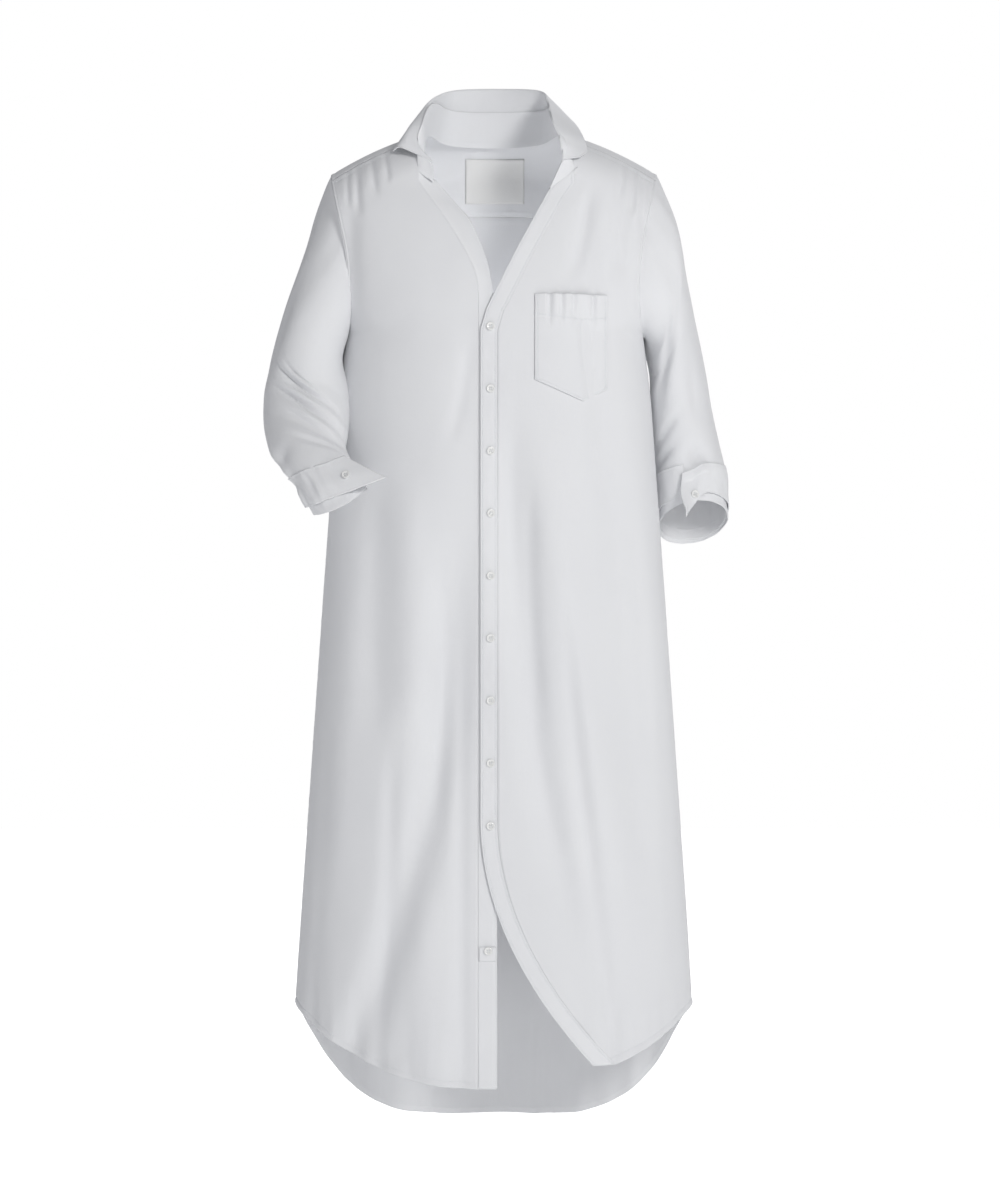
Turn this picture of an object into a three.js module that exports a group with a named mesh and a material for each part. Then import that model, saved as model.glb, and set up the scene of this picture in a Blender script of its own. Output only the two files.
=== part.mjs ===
// A long white cotton shirt dress, filled out as if it were worn, with nobody inside.
// Millimetres. +X is the viewer's right, +Z is up and the front faces -Y.
// The origin lies between the shoulders, at the neck, where a wearer carries the dress.
import * as THREE from 'three';

// Cloth and seams
const WALL = 2;
const SEAM = 0.3;
const LAP = 3;
const APPLIED_GAP = 1.4;
const STAND_TOP_GAP = 1.2;
const LEAF_GAP = 3;
const LEAF_STAND_STRIP = 6;

// Sides of the body
const FRONT = -1;
const BACK = 1;

// Shoulders: the ridge falls away from the neck, and the cloth rolls over it
const SHOULDER_TOP = 12.5;
const SHOULDER_FALL = 0.00146;
const ROLL = 60;
const ROLL_ARC = (ROLL * Math.PI) / 2;
const SECTION_POWER = 2.6;

// Heights on the body
const YOKE_FRONT_ARC = 38;
const YOKE_BACK_Z = -95;
const YOKE_BACK_DIP = 14;
const ARMHOLE_TOP_Z = -52;
const ARMHOLE_BOTTOM_Z = -262;
const NECK_END_RIGHT_Z = -62;
const NECK_END_LEFT_Z = -68;
const TOP_BAND_SLANT = 20;
const TOP_BAND_SLANT_END_Z = -170;

// Closure: the viewer's right front laps over the left one
const TOP_EDGE_X = -17;
const UNDER_SEAM_X = -19.5;
const UNDER_SEAM_GAP = 1.2;
const PLACKET_WIDTH = 21;
const UNDER_LAP_WIDTH = 26;
const UNDER_LAP_TOP_Z = -171;
const SWEEP_START_Z = -880;
const SWEEP_RATE = 0.00146;

// Shirt-tail hems
const HEM_SIDE_Z = -1128;
const HEM_HALF_WIDTH = 258;
const HEM_FRONT_DROP = 93;
const HEM_FRONT_POWER = 2.3;
const HEM_BACK_DROP = 166;
const HEM_BACK_POWER = 4.3;

// Buttons
const BUTTON_RADIUS = 5.4;
const BUTTON_THICK = 2.6;
const BUTTON_TOP_Z = -257.6;
const BUTTON_STEP = 79;
const BUTTON_COUNT = 9;
const BUTTON_GAP = 0.6;
const BUTTON_X = -4;
const HEM_BUTTON = { x: -7, z: -1047 };

// Half width and depths of the body at each height; above the armhole the half width is
// that of the whole oval which the armhole cuts off.
const BODY_SECTIONS = [
  { z: -1320, half: 271, front: 150, back: 152 },
  { z: -1125, half: 258, front: 143, back: 145 },
  { z: -864, half: 240, front: 134, back: 136 },
  { z: -604, half: 222, front: 125, back: 128 },
  { z: -344, half: 203.5, front: 119, back: 120 },
  { z: -262, half: 193.5, front: 117, back: 118 },
  { z: -210, half: 212, front: 114, back: 116 },
  { z: -160, half: 228, front: 108, back: 112 },
  { z: -110, half: 240, front: 99, back: 106 },
  { z: -60, half: 245, front: 88, back: 97 },
  { z: 60, half: 246, front: 84, back: 92 },
];

// Where the armhole seam runs
const ARMHOLE = [
  { z: -262, x: 193.5 },
  { z: -245, x: 189.5 },
  { z: -210, x: 186 },
  { z: -160, x: 189 },
  { z: -120, x: 197 },
  { z: -75, x: 207 },
  { z: -52, x: 211 },
];

// Free edge of the top front along the open neck
const TOP_NECK_EDGE = [
  { z: -261, x: -17 },
  { z: -234, x: -9 },
  { z: -158, x: 29 },
  { z: -82, x: 70 },
  { z: -46, x: 89 },
];

// Crease and free edge of the under front, whose band turns inwards along the open neck
const UNDER_NECK = [
  { z: -238, crease: -19.5, edge: 4, turn: 0, lap: 3 },
  { z: -200, crease: -21, edge: -3, turn: 8, lap: 1.4 },
  { z: -171, crease: -31, edge: -9, turn: 13, lap: 0 },
  { z: -120, crease: -61, edge: -30, turn: 16, lap: 0 },
  { z: -94, crease: -80, edge: -52, turn: 14, lap: 0 },
  { z: -66, crease: -99, edge: -76, turn: 8, lap: 0 },
];

// Share of the way from the yoke's front seam to the centre back at which its columns
// pass the armhole's back corner
const YOKE_CORNER_AT = 0.45;

// Large folds. A positive depth is a trough and a negative one a ridge. Each runs from
// x0, z0 down to x1, z1, bows sideways, and fades at its ends unless it meets the hem.
const FOLDS = [
  { side: FRONT, x0: -151, z0: -390, x1: -151, z1: -830, bow: 0, depth: 7, width: 20, hem: 0 },
  { side: FRONT, x0: -50, z0: -470, x1: -182, z1: -1180, bow: 42, depth: 15, width: 24, hem: 1 },
  { side: FRONT, x0: -187, z0: -520, x1: -205, z1: -1030, bow: 0, depth: -5, width: 20, hem: 0 },
  { side: FRONT, x0: -109, z0: -420, x1: -104, z1: -800, bow: 0, depth: -7, width: 24, hem: 0 },
  { side: FRONT, x0: -92, z0: -900, x1: -84, z1: -1230, bow: 0, depth: -7, width: 30, hem: 1 },
  { side: FRONT, x0: -184, z0: -60, x1: -180, z1: -300, bow: 0, depth: 6, width: 11, hem: 0 },
  { side: FRONT, x0: 101, z0: -20, x1: 206, z1: -1130, bow: 8, depth: 11, width: 24, hem: 0 },
  { side: FRONT, x0: 165, z0: -52, x1: 158, z1: -210, bow: 0, depth: 6, width: 11, hem: 0 },
  { side: FRONT, x0: 24, z0: -320, x1: 122, z1: -1090, bow: -32, depth: 13, width: 19, hem: 0 },
  { side: FRONT, x0: 64, z0: -360, x1: 188, z1: -1060, bow: -18, depth: -10, width: 25, hem: 0 },
  { side: BACK, x0: -62, z0: -70, x1: -128, z1: -1300, bow: 8, depth: 12, width: 22, hem: 1 },
  { side: BACK, x0: 0, z0: -60, x1: 6, z1: -1300, bow: 0, depth: -9, width: 26, hem: 1 },
  { side: BACK, x0: 58, z0: -70, x1: 112, z1: -1300, bow: -10, depth: 13, width: 23, hem: 1 },
  { side: BACK, x0: -132, z0: -120, x1: -196, z1: -1180, bow: 6, depth: 8, width: 18, hem: 1 },
  { side: BACK, x0: 128, z0: -130, x1: 186, z1: -1150, bow: 8, depth: 9, width: 19, hem: 1 },
];

// Sleeves, ring by ring: the outer and the inner point of each oval, its half depth, the
// lift of its front side and how much of the armhole's own shape it keeps. Sides are the
// wearer's. The tables are written for +X, and the right arm is mirrored.
const LEFT_ARM_RINGS = [
  { outX: 211, outY: 0, outZ: -52, inX: 193.5, inY: 0, inZ: -262, half: 62, lift: 0, armhole: 1 },
  { outX: 223, outY: 2, outZ: -76, inX: 201, inY: 1, inZ: -265, half: 64, lift: 0, armhole: 0.8 },
  { outX: 234, outY: 4, outZ: -115, inX: 204, inY: 6, inZ: -279, half: 62, lift: 0, armhole: 0.45 },
  { outX: 246, outY: 8, outZ: -165, inX: 203, inY: 20, inZ: -294, half: 62, lift: 0, armhole: 0.18 },
  { outX: 257, outY: 13, outZ: -215, inX: 204, inY: 32, inZ: -312, half: 61, lift: 0, armhole: 0 },
  { outX: 267, outY: 19, outZ: -262, inX: 205, inY: 42, inZ: -334, half: 59, lift: 0, armhole: 0 },
  { outX: 276, outY: 25, outZ: -310, inX: 207, inY: 48, inZ: -360, half: 56, lift: 0, armhole: 0 },
  { outX: 284, outY: 30, outZ: -355, inX: 208, inY: 50, inZ: -388, half: 54, lift: 4, armhole: 0 },
  { outX: 294, outY: 33, outZ: -398, inX: 210, inY: 50, inZ: -420, half: 52, lift: 8, armhole: 0 },
  { outX: 303, outY: 34, outZ: -435, inX: 212, inY: 50, inZ: -452, half: 50, lift: 14, armhole: 0 },
  { outX: 304, outY: 34, outZ: -466, inX: 214, inY: 48, inZ: -482, half: 49, lift: 20, armhole: 0 },
  { outX: 305, outY: 34, outZ: -490, inX: 216, inY: 46, inZ: -508, half: 48, lift: 24, armhole: 0 },
  { outX: 305, outY: 34, outZ: -510, inX: 218, inY: 46, inZ: -530, half: 47, lift: 28, armhole: 0 },
];
const RIGHT_ARM_RINGS = [
  { outX: 211, outY: 0, outZ: -52, inX: 193.5, inY: 0, inZ: -262, half: 62, lift: 0, armhole: 1 },
  { outX: 224, outY: 0, outZ: -76, inX: 197, inY: -2, inZ: -268, half: 63, lift: 0, armhole: 0.8 },
  { outX: 236, outY: -1, outZ: -114, inX: 199.5, inY: -8, inZ: -279, half: 63, lift: 0, armhole: 0.45 },
  { outX: 250, outY: -3, outZ: -164, inX: 202, inY: -18, inZ: -294, half: 62, lift: 0, armhole: 0.18 },
  { outX: 262, outY: -5, outZ: -214, inX: 204, inY: -28, inZ: -311, half: 61, lift: 0, armhole: 0 },
  { outX: 274, outY: -6, outZ: -263, inX: 207, inY: -38, inZ: -329, half: 59, lift: 0, armhole: 0 },
  { outX: 284, outY: -6, outZ: -310, inX: 210, inY: -50, inZ: -346, half: 56, lift: 0, armhole: 0 },
  { outX: 291, outY: -14, outZ: -352, inX: 211, inY: -68, inZ: -364, half: 54, lift: -2, armhole: 0 },
  { outX: 289, outY: -40, outZ: -392, inX: 206, inY: -88, inZ: -382, half: 52, lift: -8, armhole: 0 },
  { outX: 277, outY: -74, outZ: -424, inX: 197, inY: -106, inZ: -402, half: 52, lift: -18, armhole: 0 },
  { outX: 261, outY: -102, outZ: -448, inX: 186, inY: -119, inZ: -422, half: 52, lift: -30, armhole: 0 },
  { outX: 245, outY: -121, outZ: -468, inX: 175, inY: -128, inZ: -441, half: 52, lift: -40, armhole: 0 },
  { outX: 231, outY: -133, outZ: -486, inX: 165, inY: -134, inZ: -458, half: 54, lift: -50, armhole: 0 },
  { outX: 222, outY: -139, outZ: -498, inX: 160, inY: -137, inZ: -470, half: 56, lift: -56, armhole: 0 },
];
const SLEEVE_SEAM_GAP = 5 * SEAM;
const SLEEVE_SEAM_STRIP = 4;

// Creases on the sleeves: ring and angle of the middle, spread along and round the arm,
// slope of the crease and its depth
const RIGHT_ARM_CREASES = [
  { ring: 6.7, angle: 2.1, along: 0.32, round: 0.7, slope: 0.9, depth: 8 },
  { ring: 7.7, angle: 2.2, along: 0.3, round: 0.8, slope: 0.9, depth: 9 },
  { ring: 8.6, angle: 2.2, along: 0.3, round: 0.8, slope: 0.8, depth: 7 },
  { ring: 10.6, angle: 0.6, along: 0.5, round: 0.5, slope: -0.6, depth: 6 },
  { ring: 4.6, angle: 0.9, along: 1.3, round: 0.35, slope: 0, depth: 6 },
];
const LEFT_ARM_CREASES = [
  { ring: 4.4, angle: 2.0, along: 1.5, round: 0.35, slope: 0.1, depth: 9 },
  { ring: 8.6, angle: 1.2, along: 0.6, round: 0.3, slope: 0.5, depth: 9 },
  { ring: 7.6, angle: 4.4, along: 0.5, round: 0.7, slope: 0.7, depth: 7 },
  { ring: 6.4, angle: 4.8, along: 0.4, round: 0.6, slope: -0.7, depth: 6 },
];

// Cuffs, by ring number along the arm and by column round it. A band stands off the sleeve
// by its offset, which grows by its spread, and its last end runs on straight: by the heel
// at the first ring and by the flap at the last.
const CUFFS = {
  left: { from: 9, to: 10.85, start: 5, end: 23, offset: 3.2, spread: 4, flap: 14, heel: 8 },
  right: { from: 10.35, to: 11.9, start: 11, end: 27, offset: 6.2, spread: 3, flap: 30, heel: 4 },
};
const CUFF_TURNS = {
  left: { from: 11.04, to: 11.6, start: 6, end: 23, offset: 0.5, spread: 3, flap: 8, heel: 8 },
  right: { from: 12.2, to: 12.65, start: 12, end: 28, offset: 0.5, spread: 3, flap: 16, heel: 16 },
};

// Collar, from the viewer's left end over the back to the right end: neck point, then the
// offsets from it of the stand's top, of the leaf's roll and of the leaf's free edge
const COLLAR = [
  { at: 0, neckX: -77, arc: -104, top: [1, -4, 20], roll: [-23, -2, 36], edge: [-46, 12, 43] },
  { at: 0.06, neckX: -97, arc: -83, top: [6, 1, 25], roll: [-1, -1, 52], edge: [-22, 16, 50] },
  { at: 0.15, neckX: -90, arc: -61, top: [8, -8, 34], roll: [-8, -2, 62], edge: [-20, 22, 46] },
  { at: 0.27, neckX: -84, arc: -8, top: [12, 0, 36], roll: [8, 8, 72], edge: [-14, 24, 28] },
  { at: 0.38, neckX: -62, arc: 33, top: [6, 0, 40], roll: [4, 12, 98], edge: [-14, 34, 34] },
  { at: 0.5, neckX: 0, arc: 46, top: [2, 2, 42], roll: [4, 16, 114], edge: [5, 36, 38] },
  { at: 0.62, neckX: 62, arc: 33, top: [2, 0, 40], roll: [6, 12, 92], edge: [30, 30, 28] },
  { at: 0.73, neckX: 84, arc: -8, top: [-10, 0, 31], roll: [4, 8, 58], edge: [34, 22, 4] },
  { at: 0.85, neckX: 96, arc: -65, top: [-12, -8, 36], roll: [2, -6, 59], edge: [32, 26, 19] },
  { at: 0.94, neckX: 100, arc: -87, top: [-4, 1, 29], roll: [3, -1, 50], edge: [26, 12, 30] },
  { at: 1, neckX: 71, arc: -120, top: [15, 0, 35], roll: [28, -2, 39], edge: [40, 4, 43] },
];
const NECK_LEFT_CORNER_AT = 0.05;
const NECK_RIGHT_CORNER_AT = 0.95;
const STAND_INSET = 4.8;
const STAND_LIFT = 2.2;
const NECK_MIDDLE = new THREE.Vector2(0, -10);

// Chest pocket
const POCKET = { left: 52, right: 144, topZ: -216, leftZ: -325, pointX: 113, pointZ: -352, rightZ: -336 };
const POCKET_GAPE = 7;

// Neck label, a bare patch on the yoke's inner face
const LABEL = { left: -38, right: 40, topZ: -20, bottomZ: -78, wall: 1, gap: 1.2 };

// Small patch at the last button of the under front
const TAB = { left: -18.5, right: 2.5, topZ: -1042, bottomZ: -1060, wall: 1 };

// Mesh resolution
const FRONT_COLUMNS = 14;
const BODY_ROWS = 24;
const BACK_COLUMNS = 24;
const SLEEVE_COLUMNS = 20;
const YOKE_COLUMNS = 13;
const YOKE_ROWS = 5;
const COLLAR_COLUMNS = 24;
const LEAF_ROWS = 6;
const POCKET_COLUMNS = 8;
const POCKET_ROWS = 5;
const ROW_BIAS = 1.25;

const COTTON = { color: 0xe6e8ea, roughness: 0.85, metalness: 0 };
const BUTTON = { color: 0xf2f2ef, roughness: 0.35, metalness: 0 };

const mix = (a, b, share) => a + (b - a) * share;
const clamp = (value, low, high) => Math.min(high, Math.max(low, value));
const smooth = (value) => value * value * (3 - 2 * value);
const bell = (value) => Math.exp(-value * value);

// A smooth curve through one column of a table whose key column rises or falls
function curve(rows, key, column) {
  const points = rows.map((row) => [row[key], row[column]]).sort((a, b) => a[0] - b[0]);
  const slope = points.map((_, i) => {
    const before = points[Math.max(i - 1, 0)];
    const after = points[Math.min(i + 1, points.length - 1)];
    return (after[1] - before[1]) / (after[0] - before[0]);
  });
  return (at) => {
    const value = clamp(at, points[0][0], points[points.length - 1][0]);
    let i = 0;
    while (i < points.length - 2 && value > points[i + 1][0]) i += 1;
    const span = points[i + 1][0] - points[i][0];
    const t = (value - points[i][0]) / span;
    const a = (2 * t ** 3 - 3 * t ** 2 + 1) * points[i][1];
    const b = (t ** 3 - 2 * t ** 2 + t) * span * slope[i];
    const c = (-2 * t ** 3 + 3 * t ** 2) * points[i + 1][1];
    const d = (t ** 3 - t ** 2) * span * slope[i + 1];
    return a + b + c + d;
  };
}

// Straight stretches through one column of a table
function stretches(rows, key, column) {
  const points = rows.map((row) => [row[key], row[column]]).sort((a, b) => a[0] - b[0]);
  return (at) => {
    const value = clamp(at, points[0][0], points[points.length - 1][0]);
    let i = 0;
    while (i < points.length - 2 && value > points[i + 1][0]) i += 1;
    const t = (value - points[i][0]) / (points[i + 1][0] - points[i][0]);
    return mix(points[i][1], points[i + 1][1], t);
  };
}

const halfWidth = stretches(BODY_SECTIONS, 'z', 'half');
const frontDepth = curve(BODY_SECTIONS, 'z', 'front');
const backDepth = curve(BODY_SECTIONS, 'z', 'back');
const armholeX = curve(ARMHOLE, 'z', 'x');
const topNeckEdge = stretches(TOP_NECK_EDGE, 'z', 'x');
const underCrease = curve(UNDER_NECK, 'z', 'crease');
const underEdge = curve(UNDER_NECK, 'z', 'edge');
const underTurn = curve(UNDER_NECK, 'z', 'turn');
const underLap = stretches(UNDER_NECK, 'z', 'lap');
const neckX = curve(COLLAR, 'at', 'neckX');
const neckArc = curve(COLLAR, 'at', 'arc');

const shoulderZ = (x) => SHOULDER_TOP - SHOULDER_FALL * x * x;

// Depth of all the folds at a point of one side of the body
function foldDepth(side, x, z) {
  let depth = 0;
  for (const fold of FOLDS) {
    if (fold.side !== side) continue;
    const along = (fold.z0 - z) / (fold.z0 - fold.z1);
    if (along <= 0 || (along >= 1 && !fold.hem)) continue;
    const start = smooth(clamp(along / 0.3, 0, 1));
    const end = fold.hem ? 1 : smooth(clamp((1 - along) / 0.3, 0, 1));
    const t = Math.min(along, 1);
    const middle = mix(fold.x0, fold.x1, t) + fold.bow * 4 * t * (1 - t);
    depth += fold.depth * start * end * bell((x - middle) / fold.width);
  }
  return depth;
}

// How far the cloth stands from the middle plane, before the shoulder roll
function reach(side, x, z) {
  const share = Math.sqrt(Math.max(0, 1 - Math.abs(x / halfWidth(z)) ** SECTION_POWER));
  const depth = side === FRONT ? frontDepth(z) : backDepth(z);
  return share * (depth - foldDepth(side, x, z));
}

// A point of the front or back at a given x and height
function bodyPoint(side, x, z) {
  const lift = (z - shoulderZ(x) + ROLL) / ROLL;
  const roll = lift > 0 ? Math.sqrt(Math.max(0, 1 - lift * lift)) : 1;
  return new THREE.Vector3(x, side * roll * reach(side, x, z), z);
}

// A point near the shoulder, by x and arc length from the ridge, positive to the back
function shoulderPoint(x, arc) {
  const side = arc < 0 ? FRONT : BACK;
  const angle = Math.min(Math.abs(arc) / ROLL, Math.PI / 2);
  const straight = Math.max(0, Math.abs(arc) - ROLL_ARC);
  const z = shoulderZ(x) - ROLL + ROLL * Math.cos(angle) - straight;
  return new THREE.Vector3(x, side * Math.sin(angle) * reach(side, x, z), z);
}

// The oval's angle for an x at a height, and back again
function angleOf(x, z) {
  const share = clamp(Math.abs(x) / halfWidth(z), 0, 1);
  return Math.sign(x) * Math.asin(share ** (SECTION_POWER / 2));
}
function widthOf(angle, z) {
  return Math.sign(angle) * halfWidth(z) * Math.abs(Math.sin(angle)) ** (2 / SECTION_POWER);
}

function surfaceNormal(side, x, z) {
  const step = 1;
  const acrossX = bodyPoint(side, x + step, z).sub(bodyPoint(side, x - step, z));
  const alongZ = bodyPoint(side, x, z + step).sub(bodyPoint(side, x, z - step));
  const normal = acrossX.cross(alongZ).normalize();
  return normal.y * side < 0 ? normal.negate() : normal;
}

const frontNormal = ({ x, z }) => surfaceNormal(FRONT, x, z);
const backNormal = ({ x, z }) => surfaceNormal(BACK, x, z);

// A point on the body's outer face, moved out or in along the face's normal
function offsetPoint(side, x, z, distance) {
  return bodyPoint(side, x, z).addScaledVector(surfaceNormal(side, x, z), distance);
}

const hemFrontZ = (x) =>
  HEM_SIDE_Z - HEM_FRONT_DROP * (1 - Math.min(1, Math.abs(x) / HEM_HALF_WIDTH) ** HEM_FRONT_POWER);
const hemBackZ = (x) =>
  HEM_SIDE_Z - HEM_BACK_DROP * (1 - Math.min(1, Math.abs(x) / HEM_HALF_WIDTH) ** HEM_BACK_POWER);
const yokeFrontZ = (x) => shoulderZ(x) - ROLL + ROLL * Math.cos(YOKE_FRONT_ARC / ROLL);
const yokeBackZ = (x) => YOKE_BACK_Z - YOKE_BACK_DIP * (x / ARMHOLE[0].x) ** 2;

// Free edge of the top front, and the seam between it and its band
function topEdgeX(z) {
  if (z > TOP_NECK_EDGE[0].z) return topNeckEdge(z);
  return TOP_EDGE_X + SWEEP_RATE * Math.max(0, SWEEP_START_Z - z) ** 2;
}
function topSeamX(z) {
  const step = 4;
  const slope = (topEdgeX(z + step) - topEdgeX(z - step)) / (2 * step);
  return topEdgeX(z) + PLACKET_WIDTH * Math.hypot(1, slope);
}

// The front necklines, as x by height, read off the neck curve between two of its places
function neckline(from, to) {
  const steps = 40;
  const points = Array.from({ length: steps + 1 }, (_, i) => {
    const at = mix(from, to, i / steps);
    return { x: neckX(at), z: shoulderPoint(neckX(at), neckArc(at)).z };
  });
  return stretches(points, 'z', 'x');
}

// Where the neck curve crosses a yoke's front seam
function frontSeamAt(from, to) {
  let [low, high] = [from, to];
  for (let i = 0; i < 30; i += 1) {
    const middle = (low + high) / 2;
    if (neckArc(middle) < -YOKE_FRONT_ARC) low = middle;
    else high = middle;
  }
  return low;
}

const leftSeamAt = frontSeamAt(NECK_LEFT_CORNER_AT, 0.3);
const rightSeamAt = frontSeamAt(NECK_RIGHT_CORNER_AT, 0.7);
const necklineRight = neckline(NECK_RIGHT_CORNER_AT, rightSeamAt);
const necklineLeft = neckline(NECK_LEFT_CORNER_AT, leftSeamAt);
const rightInnerX = (z) => (z > NECK_END_RIGHT_Z ? necklineRight(z) : topSeamX(z));
const leftInnerX = (z) => (z > NECK_END_LEFT_Z ? necklineLeft(z) : underCrease(z));

// The cell normal of a grid of points is column step x row step, and it has to point out
function faceOut(grid, inside) {
  const r = Math.floor(grid.length / 2) - 1;
  const c = Math.floor(grid[0].length / 2) - 1;
  const across = grid[r][c + 1].clone().sub(grid[r][c]);
  const along = grid[r + 1][c].clone().sub(grid[r][c]);
  const out = grid[r][c].clone().sub(inside);
  return across.cross(along).dot(out) < 0 ? grid.map((row) => [...row].reverse()) : grid;
}

function gridNormals(grid, closed) {
  const rows = grid.length;
  const columns = grid[0].length;
  return grid.map((row, r) =>
    row.map((_, c) => {
      const left = closed ? (c - 1 + columns) % columns : Math.max(c - 1, 0);
      const right = closed ? (c + 1) % columns : Math.min(c + 1, columns - 1);
      const across = grid[r][right].clone().sub(grid[r][left]);
      const along = grid[Math.min(r + 1, rows - 1)][c].clone().sub(grid[Math.max(r - 1, 0)][c]);
      return across.cross(along).normalize();
    }),
  );
}

// A cloth wall: the grid is its outer face, a second grid lies one wall thickness inside,
// and strips close the edges. A closed grid joins its last column to its first.
function clothGeometry(source, inside, { closed = false, wall = WALL, normalAt = null } = {}) {
  const grid = faceOut(source, inside);
  const normals = normalAt ? grid.map((row) => row.map(normalAt)) : gridNormals(grid, closed);
  const rows = grid.length;
  const columns = grid[0].length;
  const positions = [];
  grid.forEach((row) => row.forEach((point) => positions.push(...point.toArray())));
  grid.forEach((row, r) =>
    row.forEach((point, c) => {
      positions.push(...point.clone().addScaledVector(normals[r][c], -wall).toArray());
    }),
  );
  const outer = (r, c) => r * columns + (c % columns);
  const inner = (r, c) => rows * columns + outer(r, c);
  const index = [];
  const quad = (a, b, c, d) => index.push(a, b, c, a, c, d);
  const lastColumn = closed ? columns : columns - 1;
  for (let r = 0; r < rows - 1; r += 1) {
    for (let c = 0; c < lastColumn; c += 1) {
      quad(outer(r, c), outer(r, c + 1), outer(r + 1, c + 1), outer(r + 1, c));
      quad(inner(r, c), inner(r + 1, c), inner(r + 1, c + 1), inner(r, c + 1));
    }
    if (!closed) {
      quad(outer(r, 0), outer(r + 1, 0), inner(r + 1, 0), inner(r, 0));
      quad(outer(r + 1, lastColumn), outer(r, lastColumn), inner(r, lastColumn), inner(r + 1, lastColumn));
    }
  }
  for (let c = 0; c < lastColumn; c += 1) {
    quad(outer(0, c + 1), outer(0, c), inner(0, c), inner(0, c + 1));
    quad(outer(rows - 1, c), outer(rows - 1, c + 1), inner(rows - 1, c + 1), inner(rows - 1, c));
  }
  const geometry = new THREE.BufferGeometry();
  geometry.setAttribute('position', new THREE.Float32BufferAttribute(positions, 3));
  geometry.setIndex(index);
  geometry.computeVertexNormals();
  return geometry;
}

const dress = new THREE.Group();

function addPiece(name, geometry, finish = COTTON) {
  const mesh = new THREE.Mesh(geometry, new THREE.MeshStandardMaterial(finish));
  mesh.name = name;
  dress.add(mesh);
  return mesh;
}

const bodyMiddle = new THREE.Vector3(0, 0, -500);

// Settles a row's height where it follows a seam or hem whose height depends on x
function settle(heightOf, xOf, first) {
  let z = first;
  for (let i = 0; i < 12; i += 1) z = mix(z, heightOf(xOf(z)), 0.7);
  return z;
}

// A body panel between an inner and an outer boundary, a top seam and a hem. Its columns
// are evenly spread in the oval's angle, so they follow the curve round to the side seam.
function panelGrid(side, innerX, outerAngle, topZ, bottomZ, columns) {
  const xAt = (share, z) => widthOf(mix(angleOf(innerX(z), z), outerAngle(z), share), z);
  const grid = Array.from({ length: BODY_ROWS + 1 }, () => []);
  for (let c = 0; c <= columns; c += 1) {
    const share = c / columns;
    const top = settle(topZ, (z) => xAt(share, z), ARMHOLE_TOP_Z);
    const bottom = settle(bottomZ, (z) => xAt(share, z), HEM_SIDE_Z);
    for (let r = 0; r <= BODY_ROWS; r += 1) {
      const z = mix(top, bottom, (r / BODY_ROWS) ** ROW_BIAS);
      const point = bodyPoint(side, xAt(share, z), z);
      if (c === columns && z < ARMHOLE_BOTTOM_Z) point.y = side * SEAM;
      grid[r].push(point);
    }
  }
  return grid;
}

const sideAngle = (z) => (z < ARMHOLE_BOTTOM_Z ? Math.PI / 2 : angleOf(armholeX(z), z));

function addFronts() {
  const right = panelGrid(
    FRONT,
    (z) => rightInnerX(z) + SEAM,
    sideAngle,
    (x) => yokeFrontZ(x) - 2 * SEAM,
    hemFrontZ,
    FRONT_COLUMNS,
  );
  addPiece('front_left', clothGeometry(right, bodyMiddle, { normalAt: frontNormal }));

  const left = panelGrid(
    FRONT,
    (z) => leftInnerX(z) - SEAM,
    (z) => -sideAngle(z),
    (x) => yokeFrontZ(x) - 2 * SEAM,
    hemFrontZ,
    FRONT_COLUMNS,
  );
  left.forEach((row) =>
    row.forEach((point) => {
      const near = bell((point.x - UNDER_SEAM_X) / UNDER_LAP_WIDTH);
      if (point.z < UNDER_LAP_TOP_Z) point.y += underLap(point.z) * near;
    }),
  );
  addPiece('front_right', clothGeometry(left, bodyMiddle, { normalAt: frontNormal }));
  return { right, left };
}

// Row heights of a band that is sewn to a front's inner column, and the seam's x at each
function bandRows(front, start) {
  const seam = front.map((row) => row[0]);
  const heights = [start, ...seam.map((point) => point.z).filter((z) => z < start)];
  const seamX = stretches(seam, 'z', 'x');
  return heights.map((z) => ({ z, seamX: seamX(z) }));
}

// Band along the free edge of the top front
function addTopPlacket(front) {
  const grid = bandRows(front, NECK_END_RIGHT_Z).map(({ z, seamX }) => {
    const slant = clamp((z - TOP_BAND_SLANT_END_Z) / (NECK_END_RIGHT_Z - TOP_BAND_SLANT_END_Z), 0, 1);
    const edgeZ = z - TOP_BAND_SLANT * slant;
    const edge = topEdgeX(edgeZ);
    const seam = seamX - 2 * SEAM;
    return [0, 0.5, 1].map((share) =>
      bodyPoint(FRONT, mix(edge, seam, share), mix(edgeZ, z, share)),
    );
  });
  addPiece('placket_top', clothGeometry(grid, bodyMiddle, { normalAt: frontNormal }));
}

// Band of the under front: flat beneath the top band, turned inwards along the open neck
function addUnderPlacket(front) {
  const grid = bandRows(front, NECK_END_LEFT_Z).map(({ z, seamX }) => {
    const crease = seamX + UNDER_SEAM_GAP;
    return [0, 0.35, 0.7, 1].map((share) => {
      const point = bodyPoint(FRONT, mix(crease, underEdge(z), share), z);
      point.y += underLap(z) + underTurn(z) * share ** 1.3;
      return point;
    });
  });
  addPiece('placket_under', clothGeometry(grid, new THREE.Vector3(-60, 0, -500)));
}

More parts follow.
